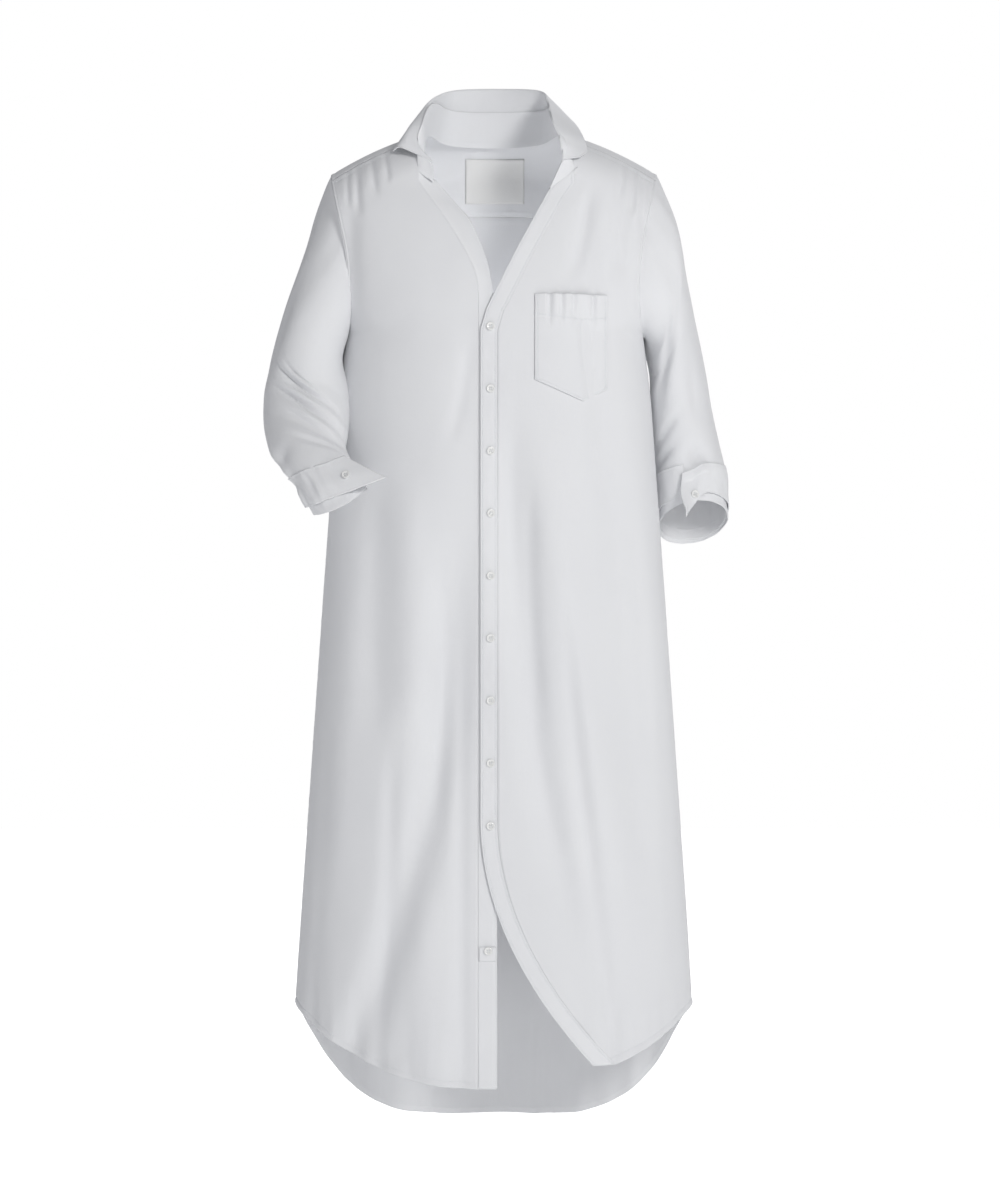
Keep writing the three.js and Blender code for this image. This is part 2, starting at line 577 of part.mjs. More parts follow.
function addBack() {
  const grid = Array.from({ length: BODY_ROWS + 1 }, () => []);
  for (let c = 0; c <= BACK_COLUMNS; c += 1) {
    const share = (2 * c) / BACK_COLUMNS - 1;
    const xAt = (z) => widthOf(sideAngle(z) * share, z);
    const top = settle((x) => yokeBackZ(x) - SEAM, xAt, YOKE_BACK_Z);
    const bottom = settle(hemBackZ, xAt, HEM_SIDE_Z);
    for (let r = 0; r <= BODY_ROWS; r += 1) {
      const z = mix(top, bottom, (r / BODY_ROWS) ** ROW_BIAS);
      const point = bodyPoint(BACK, xAt(z), z);
      if (Math.abs(share) === 1 && z < ARMHOLE_BOTTOM_Z) point.y = SEAM;
      grid[r].push(point);
    }
  }
  addPiece('back_panel', clothGeometry(grid, bodyMiddle, { normalAt: backNormal }));
}

// Arc length from the ridge down the back at which a height is reached
const backArc = (x, z) => ROLL_ARC + shoulderZ(x) - ROLL - z;

// The yoke runs round the neck. Its columns join the neck edge to the armhole and then to
// the back seam.
function addYoke() {
  const cornerX = armholeX(YOKE_BACK_Z - YOKE_BACK_DIP);
  const cornerColumn = Math.round(YOKE_CORNER_AT * YOKE_COLUMNS);
  const outerAt = (c) => {
    if (c > cornerColumn) {
      const x = mix(cornerX, 0, (c - cornerColumn) / (YOKE_COLUMNS - cornerColumn));
      return { x, arc: backArc(x, yokeBackZ(x) + SEAM) };
    }
    const backCornerArc = backArc(cornerX, yokeBackZ(cornerX) + SEAM);
    const arc = mix(SEAM - YOKE_FRONT_ARC, backCornerArc, c / cornerColumn);
    let x = cornerX;
    for (let i = 0; i < 8; i += 1) x = armholeX(shoulderPoint(x, arc).z);
    return { x, arc };
  };
  const lines = (seamAt, sign) =>
    Array.from({ length: YOKE_COLUMNS + 1 }, (_, c) => {
      const at = mix(seamAt, 0.5, c / YOKE_COLUMNS);
      const outer = outerAt(c);
      const neck = { x: neckX(at), arc: neckArc(at) + (c === 0 ? SEAM : 0) };
      return { neck, outer: { x: sign * outer.x, arc: outer.arc } };
    });
  const columns = [...lines(rightSeamAt, 1), ...lines(leftSeamAt, -1).slice(0, -1).reverse()];
  const grid = Array.from({ length: YOKE_ROWS + 1 }, (_, r) => {
    const share = r / YOKE_ROWS;
    return columns.map(({ neck, outer }) =>
      shoulderPoint(mix(neck.x, outer.x, share), mix(neck.arc, outer.arc, share)),
    );
  });
  addPiece('yoke', clothGeometry(grid, new THREE.Vector3(0, 0, -120)));
}

// Collar: positions on the neck edge and the offsets from it
function collarCurves() {
  const column = (pick) => curve(COLLAR.map((row) => ({ at: row.at, value: pick(row) })), 'at', 'value');
  const offsets = ['top', 'roll', 'edge'].map((name) => [0, 1, 2].map((i) => column((row) => row[name][i])));
  return (at) => {
    const neck = shoulderPoint(neckX(at), neckArc(at));
    const inward = NECK_MIDDLE.clone().sub(new THREE.Vector2(neck.x, neck.y)).setLength(STAND_INSET);
    neck.add(new THREE.Vector3(inward.x, inward.y, STAND_LIFT));
    const [top, roll, edge] = offsets.map((axes) =>
      neck.clone().add(new THREE.Vector3(axes[0](at), axes[1](at), axes[2](at))),
    );
    return { neck, top, roll, edge };
  };
}

function addCollar() {
  const at = collarCurves();
  const stand = [[], [], []];
  const leaf = Array.from({ length: LEAF_ROWS + 2 }, () => []);
  for (let c = 0; c <= COLLAR_COLUMNS; c += 1) {
    const { neck, top, roll, edge } = at((1 - Math.cos((Math.PI * c) / COLLAR_COLUMNS)) / 2);
    const seam = top.clone().sub(neck).normalize();
    stand[0].push(neck);
    stand[1].push(neck.clone().lerp(top, 0.5));
    stand[2].push(top.clone().addScaledVector(seam, -STAND_TOP_GAP));
    leaf[0].push(top.clone().addScaledVector(seam, LEAF_GAP));
    for (let r = 0; r <= LEAF_ROWS; r += 1) {
      const t = r / LEAF_ROWS;
      const point = top.clone().multiplyScalar((1 - t) ** 2);
      point.addScaledVector(roll, 2 * t * (1 - t)).addScaledVector(edge, t * t);
      leaf[r + 1].push(point.addScaledVector(seam, LEAF_STAND_STRIP));
    }
  }
  addPiece('collar_stand', clothGeometry(stand, new THREE.Vector3(0, 0, 20)));
  addPiece('collar_leaf', clothGeometry(leaf, new THREE.Vector3(0, 20, -40)));
}

// One sleeve as a function of ring number and angle round the arm: 0 at the outer side,
// a quarter turn at the front
function sleeveSurface(rings, creases, sign) {
  const rows = rings.map((ring, at) => ({ ...ring, at }));
  const column = (name) => curve(rows, 'at', name);
  const axes = ['outX', 'outY', 'outZ', 'inX', 'inY', 'inZ'].map(column);
  const half = column('half');
  const lift = column('lift');
  const armhole = stretches(rows, 'at', 'armhole');
  const ends = (ring) => {
    const value = axes.map((axis) => axis(ring));
    return [new THREE.Vector3(...value.slice(0, 3)), new THREE.Vector3(...value.slice(3))];
  };
  const centre = (ring) => {
    const [outer, inner] = ends(ring);
    return outer.add(inner).multiplyScalar(0.5);
  };
  const armholePoint = (angle) => {
    const middle = (ARMHOLE_TOP_Z + ARMHOLE_BOTTOM_Z) / 2;
    const z = middle + ((ARMHOLE_TOP_Z - ARMHOLE_BOTTOM_Z) / 2) * Math.cos(angle);
    const side = Math.sin(angle) >= 0 ? FRONT : BACK;
    const x = armholeX(z);
    const point = bodyPoint(side, sign * x, z);
    return new THREE.Vector3(x, Math.abs(Math.sin(angle)) < 1e-6 ? 0 : point.y, z);
  };
  const last = rings.length - 1;
  return (ring, angle, offset = 0) => {
    const [outer, inner] = ends(ring);
    const middle = outer.clone().add(inner).multiplyScalar(0.5);
    const wide = outer.clone().sub(inner).multiplyScalar(0.5);
    const along = centre(Math.min(ring + 0.4, last)).sub(centre(Math.max(ring - 0.4, 0))).normalize();
    const deep = along.clone().cross(wide).normalize().multiplyScalar(half(ring));
    deep.z += lift(ring);
    let pinch = 0;
    for (const crease of creases) {
      const turn = Math.atan2(Math.sin(angle - crease.angle), Math.cos(angle - crease.angle));
      const away = ring - crease.ring - crease.slope * turn;
      pinch += crease.depth * bell(away / crease.along) * bell(turn / crease.round);
    }
    const arm = middle.clone();
    arm.addScaledVector(wide, Math.cos(angle)).addScaledVector(deep, Math.sin(angle));
    const point = arm.lerp(armholePoint(angle), armhole(ring));
    const spoke = point.clone().sub(middle);
    point.addScaledVector(spoke.normalize(), offset - pinch);
    point.x *= sign;
    return point;
  };
}

const columnAngle = (column) => (2 * Math.PI * column) / SLEEVE_COLUMNS;

function cuffGrid(surface, band) {
  const whole = [];
  for (let ring = Math.ceil(band.from); ring <= band.to; ring += 1) whole.push(ring);
  const rings = [...new Set([band.from, ...whole, band.to])];
  const grid = rings.map((ring) => {
    const line = [];
    for (let c = band.start; c <= band.end; c += 1) {
      const share = (c - band.start) / (band.end - band.start);
      line.push(surface(ring, columnAngle(c), band.offset + band.spread * share));
    }
    const last = line[line.length - 1];
    const run = last.clone().sub(line[line.length - 2]).normalize();
    const share = (ring - band.from) / (band.to - band.from);
    line.push(last.clone().addScaledVector(run, mix(band.heel, band.flap, share)));
    return line;
  });
  return grid;
}

function addSleeve(name, rings, creases, sign, lastRing) {
  const surface = sleeveSurface(rings, creases, sign);
  const ringOf = (index) =>
    Array.from({ length: SLEEVE_COLUMNS }, (_, c) => surface(index, columnAngle(c)));
  const seam = (distance) =>
    ringOf(0).map((point) => point.add(new THREE.Vector3(sign * distance, 0, 0)));
  const grid = [seam(SLEEVE_SEAM_GAP), seam(SLEEVE_SEAM_STRIP)];
  for (let ring = 1; ring <= lastRing; ring += 1) grid.push(ringOf(ring));
  const inside = surface(5, 0).add(surface(5, Math.PI)).multiplyScalar(0.5);
  addPiece(name, clothGeometry(grid, inside, { closed: true }));
  return surface;
}

function addArms() {
  const arms = [
    { side: 'left', rings: LEFT_ARM_RINGS, creases: LEFT_ARM_CREASES, sign: 1, lastRing: 11 },
    { side: 'right', rings: RIGHT_ARM_RINGS, creases: RIGHT_ARM_CREASES, sign: -1, lastRing: 12 },
  ];
  for (const { side, rings, creases, sign, lastRing } of arms) {
    const surface = addSleeve(`sleeve_${side}`, rings, creases, sign, lastRing);
    const cuff = CUFFS[side];
    const inside = surface(cuff.to, 0).add(surface(cuff.to, Math.PI)).multiplyScalar(0.5);
    addPiece(`cuff_${side}`, clothGeometry(cuffGrid(surface, cuff), inside));
    addPiece(`cuff_${side}_turn`, clothGeometry(cuffGrid(surface, CUFF_TURNS[side]), inside));
  }
}

// The pocket lies on the front and gapes a little at its mouth
function addPocket() {
  const grid = [];
  for (let r = 0; r <= POCKET_ROWS; r += 1) {
    const line = [];
    for (let c = 0; c <= POCKET_COLUMNS; c += 1) {
      const x = mix(POCKET.left, POCKET.right, c / POCKET_COLUMNS);
      const leftSide = x < POCKET.pointX;
      const from = leftSide ? POCKET.left : POCKET.right;
      const fromZ = leftSide ? POCKET.leftZ : POCKET.rightZ;
      const bottom = mix(fromZ, POCKET.pointZ, (x - from) / (POCKET.pointX - from));
      const z = mix(POCKET.topZ, bottom, r / POCKET_ROWS);
      const gape = POCKET_GAPE * bell(r / 1.2) * Math.sin((Math.PI * c) / POCKET_COLUMNS);
      line.push(offsetPoint(FRONT, x, z, WALL + APPLIED_GAP + gape));
    }
    grid.push(line);
  }
  addPiece('chest_pocket', clothGeometry(grid, bodyMiddle));
}

// A flat patch on the body, by its corners and its distance from the body's outer face
function patchGrid(side, patch, distance, columns, rows) {
  return Array.from({ length: rows + 1 }, (_, r) =>
    Array.from({ length: columns + 1 }, (__, c) => {
      const x = mix(patch.left, patch.right, c / columns);
      const z = mix(patch.topZ, patch.bottomZ, r / rows);
      return offsetPoint(side, x, z, distance);
    }),
  );
}

function addPatches() {
  const label = patchGrid(BACK, LABEL, -(WALL + LABEL.gap), 4, 3);
  addPiece('neck_label', clothGeometry(label, new THREE.Vector3(0, 0, -50), { wall: LABEL.wall }));
  const tab = patchGrid(FRONT, TAB, -LAP + TAB.wall + SEAM, 2, 1);
  addPiece('placket_tab', clothGeometry(tab, bodyMiddle, { wall: TAB.wall }));
}

// A button is a turned disc with a raised rim
function buttonGeometry() {
  const profile = [
    [0, 0],
    [BUTTON_RADIUS * 0.7, 0],
    [BUTTON_RADIUS, BUTTON_THICK * 0.45],
    [BUTTON_RADIUS * 0.86, BUTTON_THICK],
    [BUTTON_RADIUS * 0.6, BUTTON_THICK * 0.7],
    [0, BUTTON_THICK * 0.7],
  ].map(([radius, height]) => new THREE.Vector2(radius, height));
  return new THREE.LatheGeometry(profile, 12);
}

function addButton(name, point, normal) {
  const mesh = addPiece(name, buttonGeometry(), BUTTON);
  mesh.quaternion.setFromUnitVectors(new THREE.Vector3(0, 1, 0), normal);
  mesh.position.copy(point);
}

function addButtons() {
  for (let i = 0; i < BUTTON_COUNT; i += 1) {
    const z = BUTTON_TOP_Z - BUTTON_STEP * i;
    const normal = surfaceNormal(FRONT, BUTTON_X, z);
    addButton(`button_${i + 1}`, offsetPoint(FRONT, BUTTON_X, z, BUTTON_GAP), normal);
  }
  const { x, z } = HEM_BUTTON;
  const normal = surfaceNormal(FRONT, x, z);
  addButton('button_hem', offsetPoint(FRONT, x, z, BUTTON_GAP - LAP + TAB.wall + SEAM), normal);
}

const fronts = addFronts();
addTopPlacket(fronts.right);
addUnderPlacket(fronts.left);
addBack();
addYoke();
addCollar();
addArms();
addPocket();
addPatches();
addButtons();

export default dress;
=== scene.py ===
# %% [markdown]
# # A long white cotton shirt dress
# The real dress is cut from crisp cotton poplin and hangs filled out, as if somebody stood in
# it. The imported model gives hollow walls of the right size. This lesson sews finer cloth over
# them: every cut piece is a flat grid that is moved, point by point, to its place.

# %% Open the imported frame
import math

import bmesh
import bpy
from mathutils import Matrix, Vector, noise


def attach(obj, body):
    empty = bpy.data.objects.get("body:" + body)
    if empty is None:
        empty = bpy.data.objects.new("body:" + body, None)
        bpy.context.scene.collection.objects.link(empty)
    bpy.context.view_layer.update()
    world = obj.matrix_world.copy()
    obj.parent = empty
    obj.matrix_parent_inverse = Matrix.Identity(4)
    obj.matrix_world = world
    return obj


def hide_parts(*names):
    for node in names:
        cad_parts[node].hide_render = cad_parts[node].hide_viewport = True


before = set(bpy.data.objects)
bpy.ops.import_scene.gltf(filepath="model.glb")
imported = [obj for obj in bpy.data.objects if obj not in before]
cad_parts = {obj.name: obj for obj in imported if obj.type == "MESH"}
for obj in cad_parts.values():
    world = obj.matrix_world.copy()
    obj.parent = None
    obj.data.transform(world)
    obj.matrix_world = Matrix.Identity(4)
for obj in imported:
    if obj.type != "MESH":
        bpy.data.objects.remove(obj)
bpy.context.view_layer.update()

# %% [markdown]
# ## Small tools
# Sizes are written in millimetres, as a pattern cutter would, and turned to metres when a
# point is placed. A table has a row for each height or place, and a curve reads one column of
# it smoothly. These helpers are plain arithmetic.

# %% Tables and curves
MM = 0.001
FRONT, BACK = -1, 1


def table(columns, *rows):
    return [dict(zip(columns.split(), row)) for row in rows]


def mix(a, b, share):
    return a + (b - a) * share


def clamp(value, low=0.0, high=1.0):
    return min(high, max(low, value))


def smooth(value):
    value = clamp(value)
    return value * value * (3 - 2 * value)


def bell(value):
    return math.exp(-value * value)


def stretches(rows, key, column):
    """Straight stretches through one column of a table."""
    points = sorted((row[key], row[column]) for row in rows)

    def at(value):
        value = clamp(value, points[0][0], points[-1][0])
        for (x0, y0), (x1, y1) in zip(points, points[1:]):
            if value <= x1:
                return mix(y0, y1, (value - x0) / (x1 - x0))
        return points[-1][1]

    return at


def curve(rows, key, column):
    """A smooth curve through one column of a table."""
    points = sorted((row[key], row[column]) for row in rows)
    last = len(points) - 1
    slopes = []
    for i in range(len(points)):
        before, after = points[max(i - 1, 0)], points[min(i + 1, last)]
        slopes.append((after[1] - before[1]) / (after[0] - before[0]))

    def at(value):
        value = clamp(value, points[0][0], points[last][0])
        i = 0
        while i < last - 1 and value > points[i + 1][0]:
            i += 1
        (x0, y0), (x1, y1) = points[i], points[i + 1]
        span = x1 - x0
        t = (value - x0) / span
        rise = (2 * t**3 - 3 * t**2 + 1) * y0 + (3 * t**2 - 2 * t**3) * y1
        bend = (t**3 - 2 * t**2 + t) * slopes[i] + (t**3 - t**2) * slopes[i + 1]
        return rise + span * bend

    return at


# %% [markdown]
# ## The materials
# Poplin is a tight plain weave of fine cotton. It scatters light evenly, shows hardly any
# gloss, and keeps a faint soft bloom at grazing angles, which is sheen. Its threads are about
# 0.25 mm apart, too fine for this picture, so the weave is drawn at 1.1 mm. It follows each
# piece's own UV map, laid out in metres, so the threads run along the cloth and not the room.

# %% Colours and nodes


def hex_colour(code):
    """An sRGB colour such as F1F2F4 as Blender's linear RGBA."""
    parts = [int(code[i : i + 2], 16) / 255 for i in (0, 2, 4)]
    return [p / 12.92 if p <= 0.04045 else ((p + 0.055) / 1.055) ** 2.4 for p in parts] + [1.0]


def add_node(tree, kind, settings=None, **inputs):
    """Adds a node. An input's value may be a number, a colour or another node's socket."""
    node = tree.nodes.new(kind)
    for name, value in (settings or {}).items():
        setattr(node, name, value)
    for name, value in inputs.items():
        socket = node.inputs[int(name[1:])] if name[1:].isdigit() else node.inputs[name.replace("_", " ")]
        if isinstance(value, bpy.types.NodeSocket):
            tree.links.new(value, socket)
        else:
            socket.default_value = value
    return node


def new_material(name):
    material = bpy.data.materials.new(name)
    material.use_nodes = True
    tree = material.node_tree
    tree.nodes.clear()
    shader = add_node(tree, "ShaderNodeBsdfPrincipled")
    add_node(tree, "ShaderNodeOutputMaterial", Surface=shader.outputs[0])
    return material, tree, shader


# %% Woven cotton poplin
WEAVE = 1.1 * MM
WAVE_PERIOD = 2 * math.pi / 20  # a wave texture's period at scale 1


def poplin(name, light, shade, weave_depth):
    material, tree, shader = new_material(name)
    cloth = add_node(tree, "ShaderNodeUVMap", {"uv_map": "cloth"}).outputs[0]
    threads = []
    for direction in ("X", "Y"):
        wave = add_node(
            tree,
            "ShaderNodeTexWave",
            {"wave_type": "BANDS", "bands_direction": direction},
            Vector=cloth,
            Scale=WAVE_PERIOD / WEAVE,
            Distortion=0.6,
            Detail=1.0,
        )
        threads.append(wave.outputs["Fac"])
    weave = add_node(tree, "ShaderNodeMath", {"operation": "MULTIPLY"}, _0=threads[0], _1=threads[1])
    stretched = add_node(tree, "ShaderNodeMapping", Vector=cloth, Scale=(700, 60, 1))
    slubs = add_node(tree, "ShaderNodeTexNoise", Vector=stretched.outputs[0], Scale=1.0, Detail=2.0)
    place = add_node(tree, "ShaderNodeTexCoord").outputs["Object"]
    rumple = add_node(tree, "ShaderNodeTexNoise", Vector=place, Scale=38.0, Detail=4.0, Roughness=0.55)
    patches = add_node(tree, "ShaderNodeTexNoise", Vector=place, Scale=6.0, Detail=3.0)
    colour = add_node(
        tree,
        "ShaderNodeMix",
        {"data_type": "RGBA"},
        _0=patches.outputs["Fac"],
        _6=hex_colour(light),
        _7=hex_colour(shade),
    )
    fine = add_node(
        tree, "ShaderNodeBump", Height=weave.outputs[0], Strength=weave_depth, Distance=0.25 * MM
    )
    middle = add_node(
        tree,
        "ShaderNodeBump",
        Height=slubs.outputs["Fac"],
        Strength=0.25,
        Distance=0.2 * MM,
        Normal=fine.outputs[0],
    )
    broad = add_node(
        tree,
        "ShaderNodeBump",
        Height=rumple.outputs["Fac"],
        Strength=0.35,
        Distance=1.6 * MM,
        Normal=middle.outputs[0],
    )
    tree.links.new(colour.outputs[2], shader.inputs["Base Color"])
    tree.links.new(broad.outputs[0], shader.inputs["Normal"])
    shader.inputs["Roughness"].default_value = 0.82
    shader.inputs["IOR"].default_value = 1.45
    shader.inputs["Specular IOR Level"].default_value = 0.3
    shader.inputs["Sheen Weight"].default_value = 0.12
    shader.inputs["Sheen Roughness"].default_value = 0.5
    return material


COTTON = poplin("white_cotton_poplin", "E7E8EA", "E1E2E5", 0.35)
FACING = poplin("doubled_cotton_poplin", "E9EAEC", "E3E4E7", 0.3)
print("cotton materials:", COTTON.name, FACING.name)

# %% [markdown]
# Sewing thread is twisted polyester-cotton, slightly glossier than the cloth. The buttons are
# turned from pearly polyester, smooth and faintly clouded. The label is a bare woven tape, a
# little warmer than the dress.

# %% Thread, buttons and label


def thread_material():
    material, tree, shader = new_material("twisted_sewing_thread")
    place = add_node(tree, "ShaderNodeTexCoord").outputs["Object"]
    twist = add_node(tree, "ShaderNodeTexNoise", Vector=place, Scale=900.0, Detail=1.0)
    colour = add_node(
        tree,
        "ShaderNodeMix",
        {"data_type": "RGBA"},
        _0=twist.outputs["Fac"],
        _6=hex_colour("EDEFF1"),
        _7=hex_colour("D6DADF"),
    )
    tree.links.new(colour.outputs[2], shader.inputs["Base Color"])
    shader.inputs["Roughness"].default_value = 0.55
    return material


def button_material():
    material, tree, shader = new_material("pearly_polyester_button")
    place = add_node(tree, "ShaderNodeTexCoord").outputs["Object"]
    clouds = add_node(tree, "ShaderNodeTexNoise", Vector=place, Scale=260.0, Detail=3.0, Distortion=1.2)
    colour = add_node(
        tree,
        "ShaderNodeMix",
        {"data_type": "RGBA"},
        _0=clouds.outputs["Fac"],
        _6=hex_colour("F4F4F2"),
        _7=hex_colour("E2E3E3"),
    )
    tree.links.new(colour.outputs[2], shader.inputs["Base Color"])
    shader.inputs["Roughness"].default_value = 0.22
    shader.inputs["IOR"].default_value = 1.55
    shader.inputs["Coat Weight"].default_value = 0.25
    return material


THREAD = thread_material()
BUTTON = button_material()
LABEL_TAPE = poplin("bare_woven_label_tape", "EAEAE9", "E4E4E3", 0.6)
print("trim materials:", THREAD.name, BUTTON.name, LABEL_TAPE.name)

# %% [markdown]
# ## The shape of the body
# The dress is an oval tube, flatter than a circle, that widens to its hem and rolls over two
# falling shoulders. One table gives its half width and depths by height. The cloth stands out
# from the middle plane by `reach`, and the shoulder roll brings it back to the ridge.

# %% Body sizes
SHOULDER_TOP, SHOULDER_FALL = 12.5, 0.00146
ROLL = 60.0
ROLL_ARC = ROLL * math.pi / 2
SECTION_POWER = 2.6
YOKE_FRONT_ARC, YOKE_BACK_Z, YOKE_BACK_DIP = 38.0, -95.0, 14.0
ARMHOLE_TOP_Z, ARMHOLE_BOTTOM_Z = -52.0, -262.0
HEM_SIDE_Z, HEM_HALF_WIDTH = -1128.0, 258.0
BODY_SECTIONS = table(
    "z half front back",
    (-1320, 271, 150, 152),
    (-1125, 258, 143, 145),
    (-864, 240, 134, 136),
    (-604, 222, 125, 128),
    (-344, 203.5, 119, 120),
    (-262, 193.5, 117, 118),
    (-210, 212, 114, 116),
    (-160, 228, 108, 112),
    (-110, 240, 99, 106),
    (-60, 245, 88, 97),
    (60, 246, 84, 92),
)
ARMHOLE = table(
    "z x",
    (-262, 193.5),
    (-245, 189.5),
    (-210, 186),
    (-160, 189),
    (-120, 197),
    (-75, 207),
    (-52, 211),
)

# %% [markdown]
# Folds carry the picture. Each is a soft trough, or a ridge where its depth is negative. It
# runs from x0, z0 down to x1, z1, bows sideways, and fades at its ends unless it meets the
# hem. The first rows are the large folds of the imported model, and the others are the smaller
# creases that only the cloth needs.

# %% Fold tables
FOLDS = table(
    "side x0 z0 x1 z1 bow depth width hem",
    (FRONT, -151, -390, -151, -830, 0, 7, 20, 0),
    (FRONT, -50, -470, -182, -1180, 42, 15, 24, 1),
    (FRONT, -187, -520, -205, -1030, 0, -5, 20, 0),
    (FRONT, -109, -420, -104, -800, 0, -7, 24, 0),
    (FRONT, -92, -900, -84, -1230, 0, -7, 30, 1),
    (FRONT, -184, -60, -180, -300, 0, 6, 11, 0),
    (FRONT, 101, -20, 206, -1130, 8, 11, 24, 0),
    (FRONT, 165, -52, 158, -210, 0, 6, 11, 0),
    (FRONT, 24, -320, 122, -1090, -32, 13, 19, 0),
    (FRONT, 64, -360, 188, -1060, -18, -10, 25, 0),
    (BACK, -62, -70, -128, -1300, 8, 12, 22, 1),
    (BACK, 0, -60, 6, -1300, 0, -9, 26, 1),
    (BACK, 58, -70, 112, -1300, -10, 13, 23, 1),
    (BACK, -132, -120, -196, -1180, 6, 8, 18, 1),
    (BACK, 128, -130, 186, -1150, 8, 9, 19, 1),
    # the finer creases
    (FRONT, -160, -22, -150, -92, 0, 5.5, 5, 0),
    (FRONT, -178, -26, -172, -120, 0, 6, 5, 0),
    (FRONT, -142, -20, -134, -74, 0, 4.5, 4, 0),
    (FRONT, -190, -36, -186, -108, 0, 4.5, 4, 0),
    (FRONT, 196, -40, 190, -150, 0, 7, 6, 0),
    (FRONT, 182, -30, 176, -120, 0, 6.5, 5, 0),
    (FRONT, 168, -30, 160, -96, 0, 5, 5, 0),
    (FRONT, 122, -70, 96, -205, 4, 5.5, 10, 0),
    (FRONT, -70, -520, -76, -930, 6, 6.0, 12, 0),
    (FRONT, -34, -600, -40, -1150, -4, 4.5, 10, 1),
    (FRONT, -128, -760, -150, -1215, 5, 5.0, 11, 1),
    (FRONT, -214, -700, -232, -1130, 0, 4.5, 10, 1),
    (FRONT, 46, -420, 64, -800, -6, 5.0, 10, 0),
    (FRONT, 86, -560, 150, -1140, -6, 5.5, 11, 1),
    (FRONT, 168, -420, 206, -900, 4, 5.0, 12, 0),
    (FRONT, 214, -640, 236, -1120, 0, 4.5, 10, 1),
    (FRONT, -28, -262, -60, -420, 4, 2.6, 9, 0),
    (BACK, -30, -110, -54, -1290, 4, 4.0, 11, 1),
    (BACK, 30, -110, 58, -1290, -4, 4.0, 11, 1),
    (BACK, -96, -300, -162, -1250, 0, 3.6, 10, 1),
    (BACK, 92, -300, 150, -1250, 0, 3.6, 10, 1),
    (BACK, -176, -420, -226, -1130, 0, 4.0, 11, 1),
    (BACK, 172, -420, 222, -1130, 0, 4.0, 11, 1),
)
FOLDS_BY_SIDE = {side: [f for f in FOLDS if f["side"] == side] for side in (FRONT, BACK)}
print("folds:", {side: len(rows) for side, rows in FOLDS_BY_SIDE.items()})

# %% Body form
half_width = stretches(BODY_SECTIONS, "z", "half")
depth_of = {FRONT: curve(BODY_SECTIONS, "z", "front"), BACK: curve(BODY_SECTIONS, "z", "back")}
armhole_x = curve(ARMHOLE, "z", "x")


def shoulder_z(x):
    return SHOULDER_TOP - SHOULDER_FALL * x * x


def fold_depth(side, x, z):
    depth = 0.0
    for f in FOLDS_BY_SIDE[side]:
        along = (f["z0"] - z) / (f["z0"] - f["z1"])
        if along <= 0 or (along >= 1 and not f["hem"]):
            continue
        t = min(along, 1.0)
        away = (x - mix(f["x0"], f["x1"], t) - f["bow"] * 4 * t * (1 - t)) / f["width"]
        if abs(away) < 3:
            end = 1.0 if f["hem"] else smooth((1 - along) / 0.3)
            depth += f["depth"] * smooth(along / 0.3) * end * bell(away)
    return depth


def rumple(x, y, z, amount=1.0):
    """Small unevenness of real cloth, long down the piece and short across it."""
    broad = noise.noise(Vector((x / 46, y / 46, z / 105)))
    small = noise.noise(Vector((x / 17 + 9, y / 17, z / 34)))
    return amount * (0.9 * broad + 0.3 * small)


def reach(side, x, z):
    share = math.sqrt(max(0.0, 1 - abs(x / half_width(z)) ** SECTION_POWER))
    return share * (depth_of[side](z) - fold_depth(side, x, z) + rumple(x, side * 90, z))


def body_point(side, x, z):
    lift = (z - shoulder_z(x) + ROLL) / ROLL
    roll = math.sqrt(max(0.0, 1 - lift * lift)) if lift > 0 else 1.0
    return Vector((x, side * roll * reach(side, x, z), z))


def shoulder_point(x, arc):
    """A point near the shoulder, by x and the arc length from the ridge, plus to the back."""
    side = FRONT if arc < 0 else BACK
    angle = min(abs(arc) / ROLL, math.pi / 2)
    z = shoulder_z(x) - ROLL + ROLL * math.cos(angle) - max(0.0, abs(arc) - ROLL_ARC)
    return Vector((x, side * math.sin(angle) * reach(side, x, z), z))


def angle_of(x, z):
    share = clamp(abs(x) / half_width(z))
    return math.copysign(math.asin(share ** (SECTION_POWER / 2)), x)


def width_of(angle, z):
    return math.copysign(half_width(z) * abs(math.sin(angle)) ** (2 / SECTION_POWER), angle)


def surface_normal(side, x, z):
    across = body_point(side, x + 1.5, z) - body_point(side, x - 1.5, z)
    along = body_point(side, x, z + 1.5) - body_point(side, x, z - 1.5)
    normal = across.cross(along).normalized()
    return -normal if normal.y * side < 0 else normal


def offset_point(side, x, z, distance):
    return body_point(side, x, z) + surface_normal(side, x, z) * distance


print("half width at the hem side:", half_width(HEM_SIDE_Z), "mm")

# %% [markdown]
# ## Edges and the closure
# The viewer's right front laps over the left one down to a button near the knees, then its
# edge sweeps away to the side. The under front's band turns inwards along the open neck. The
# hem is a shirt tail: high at the sides, lower at the front, and lowest at the back.

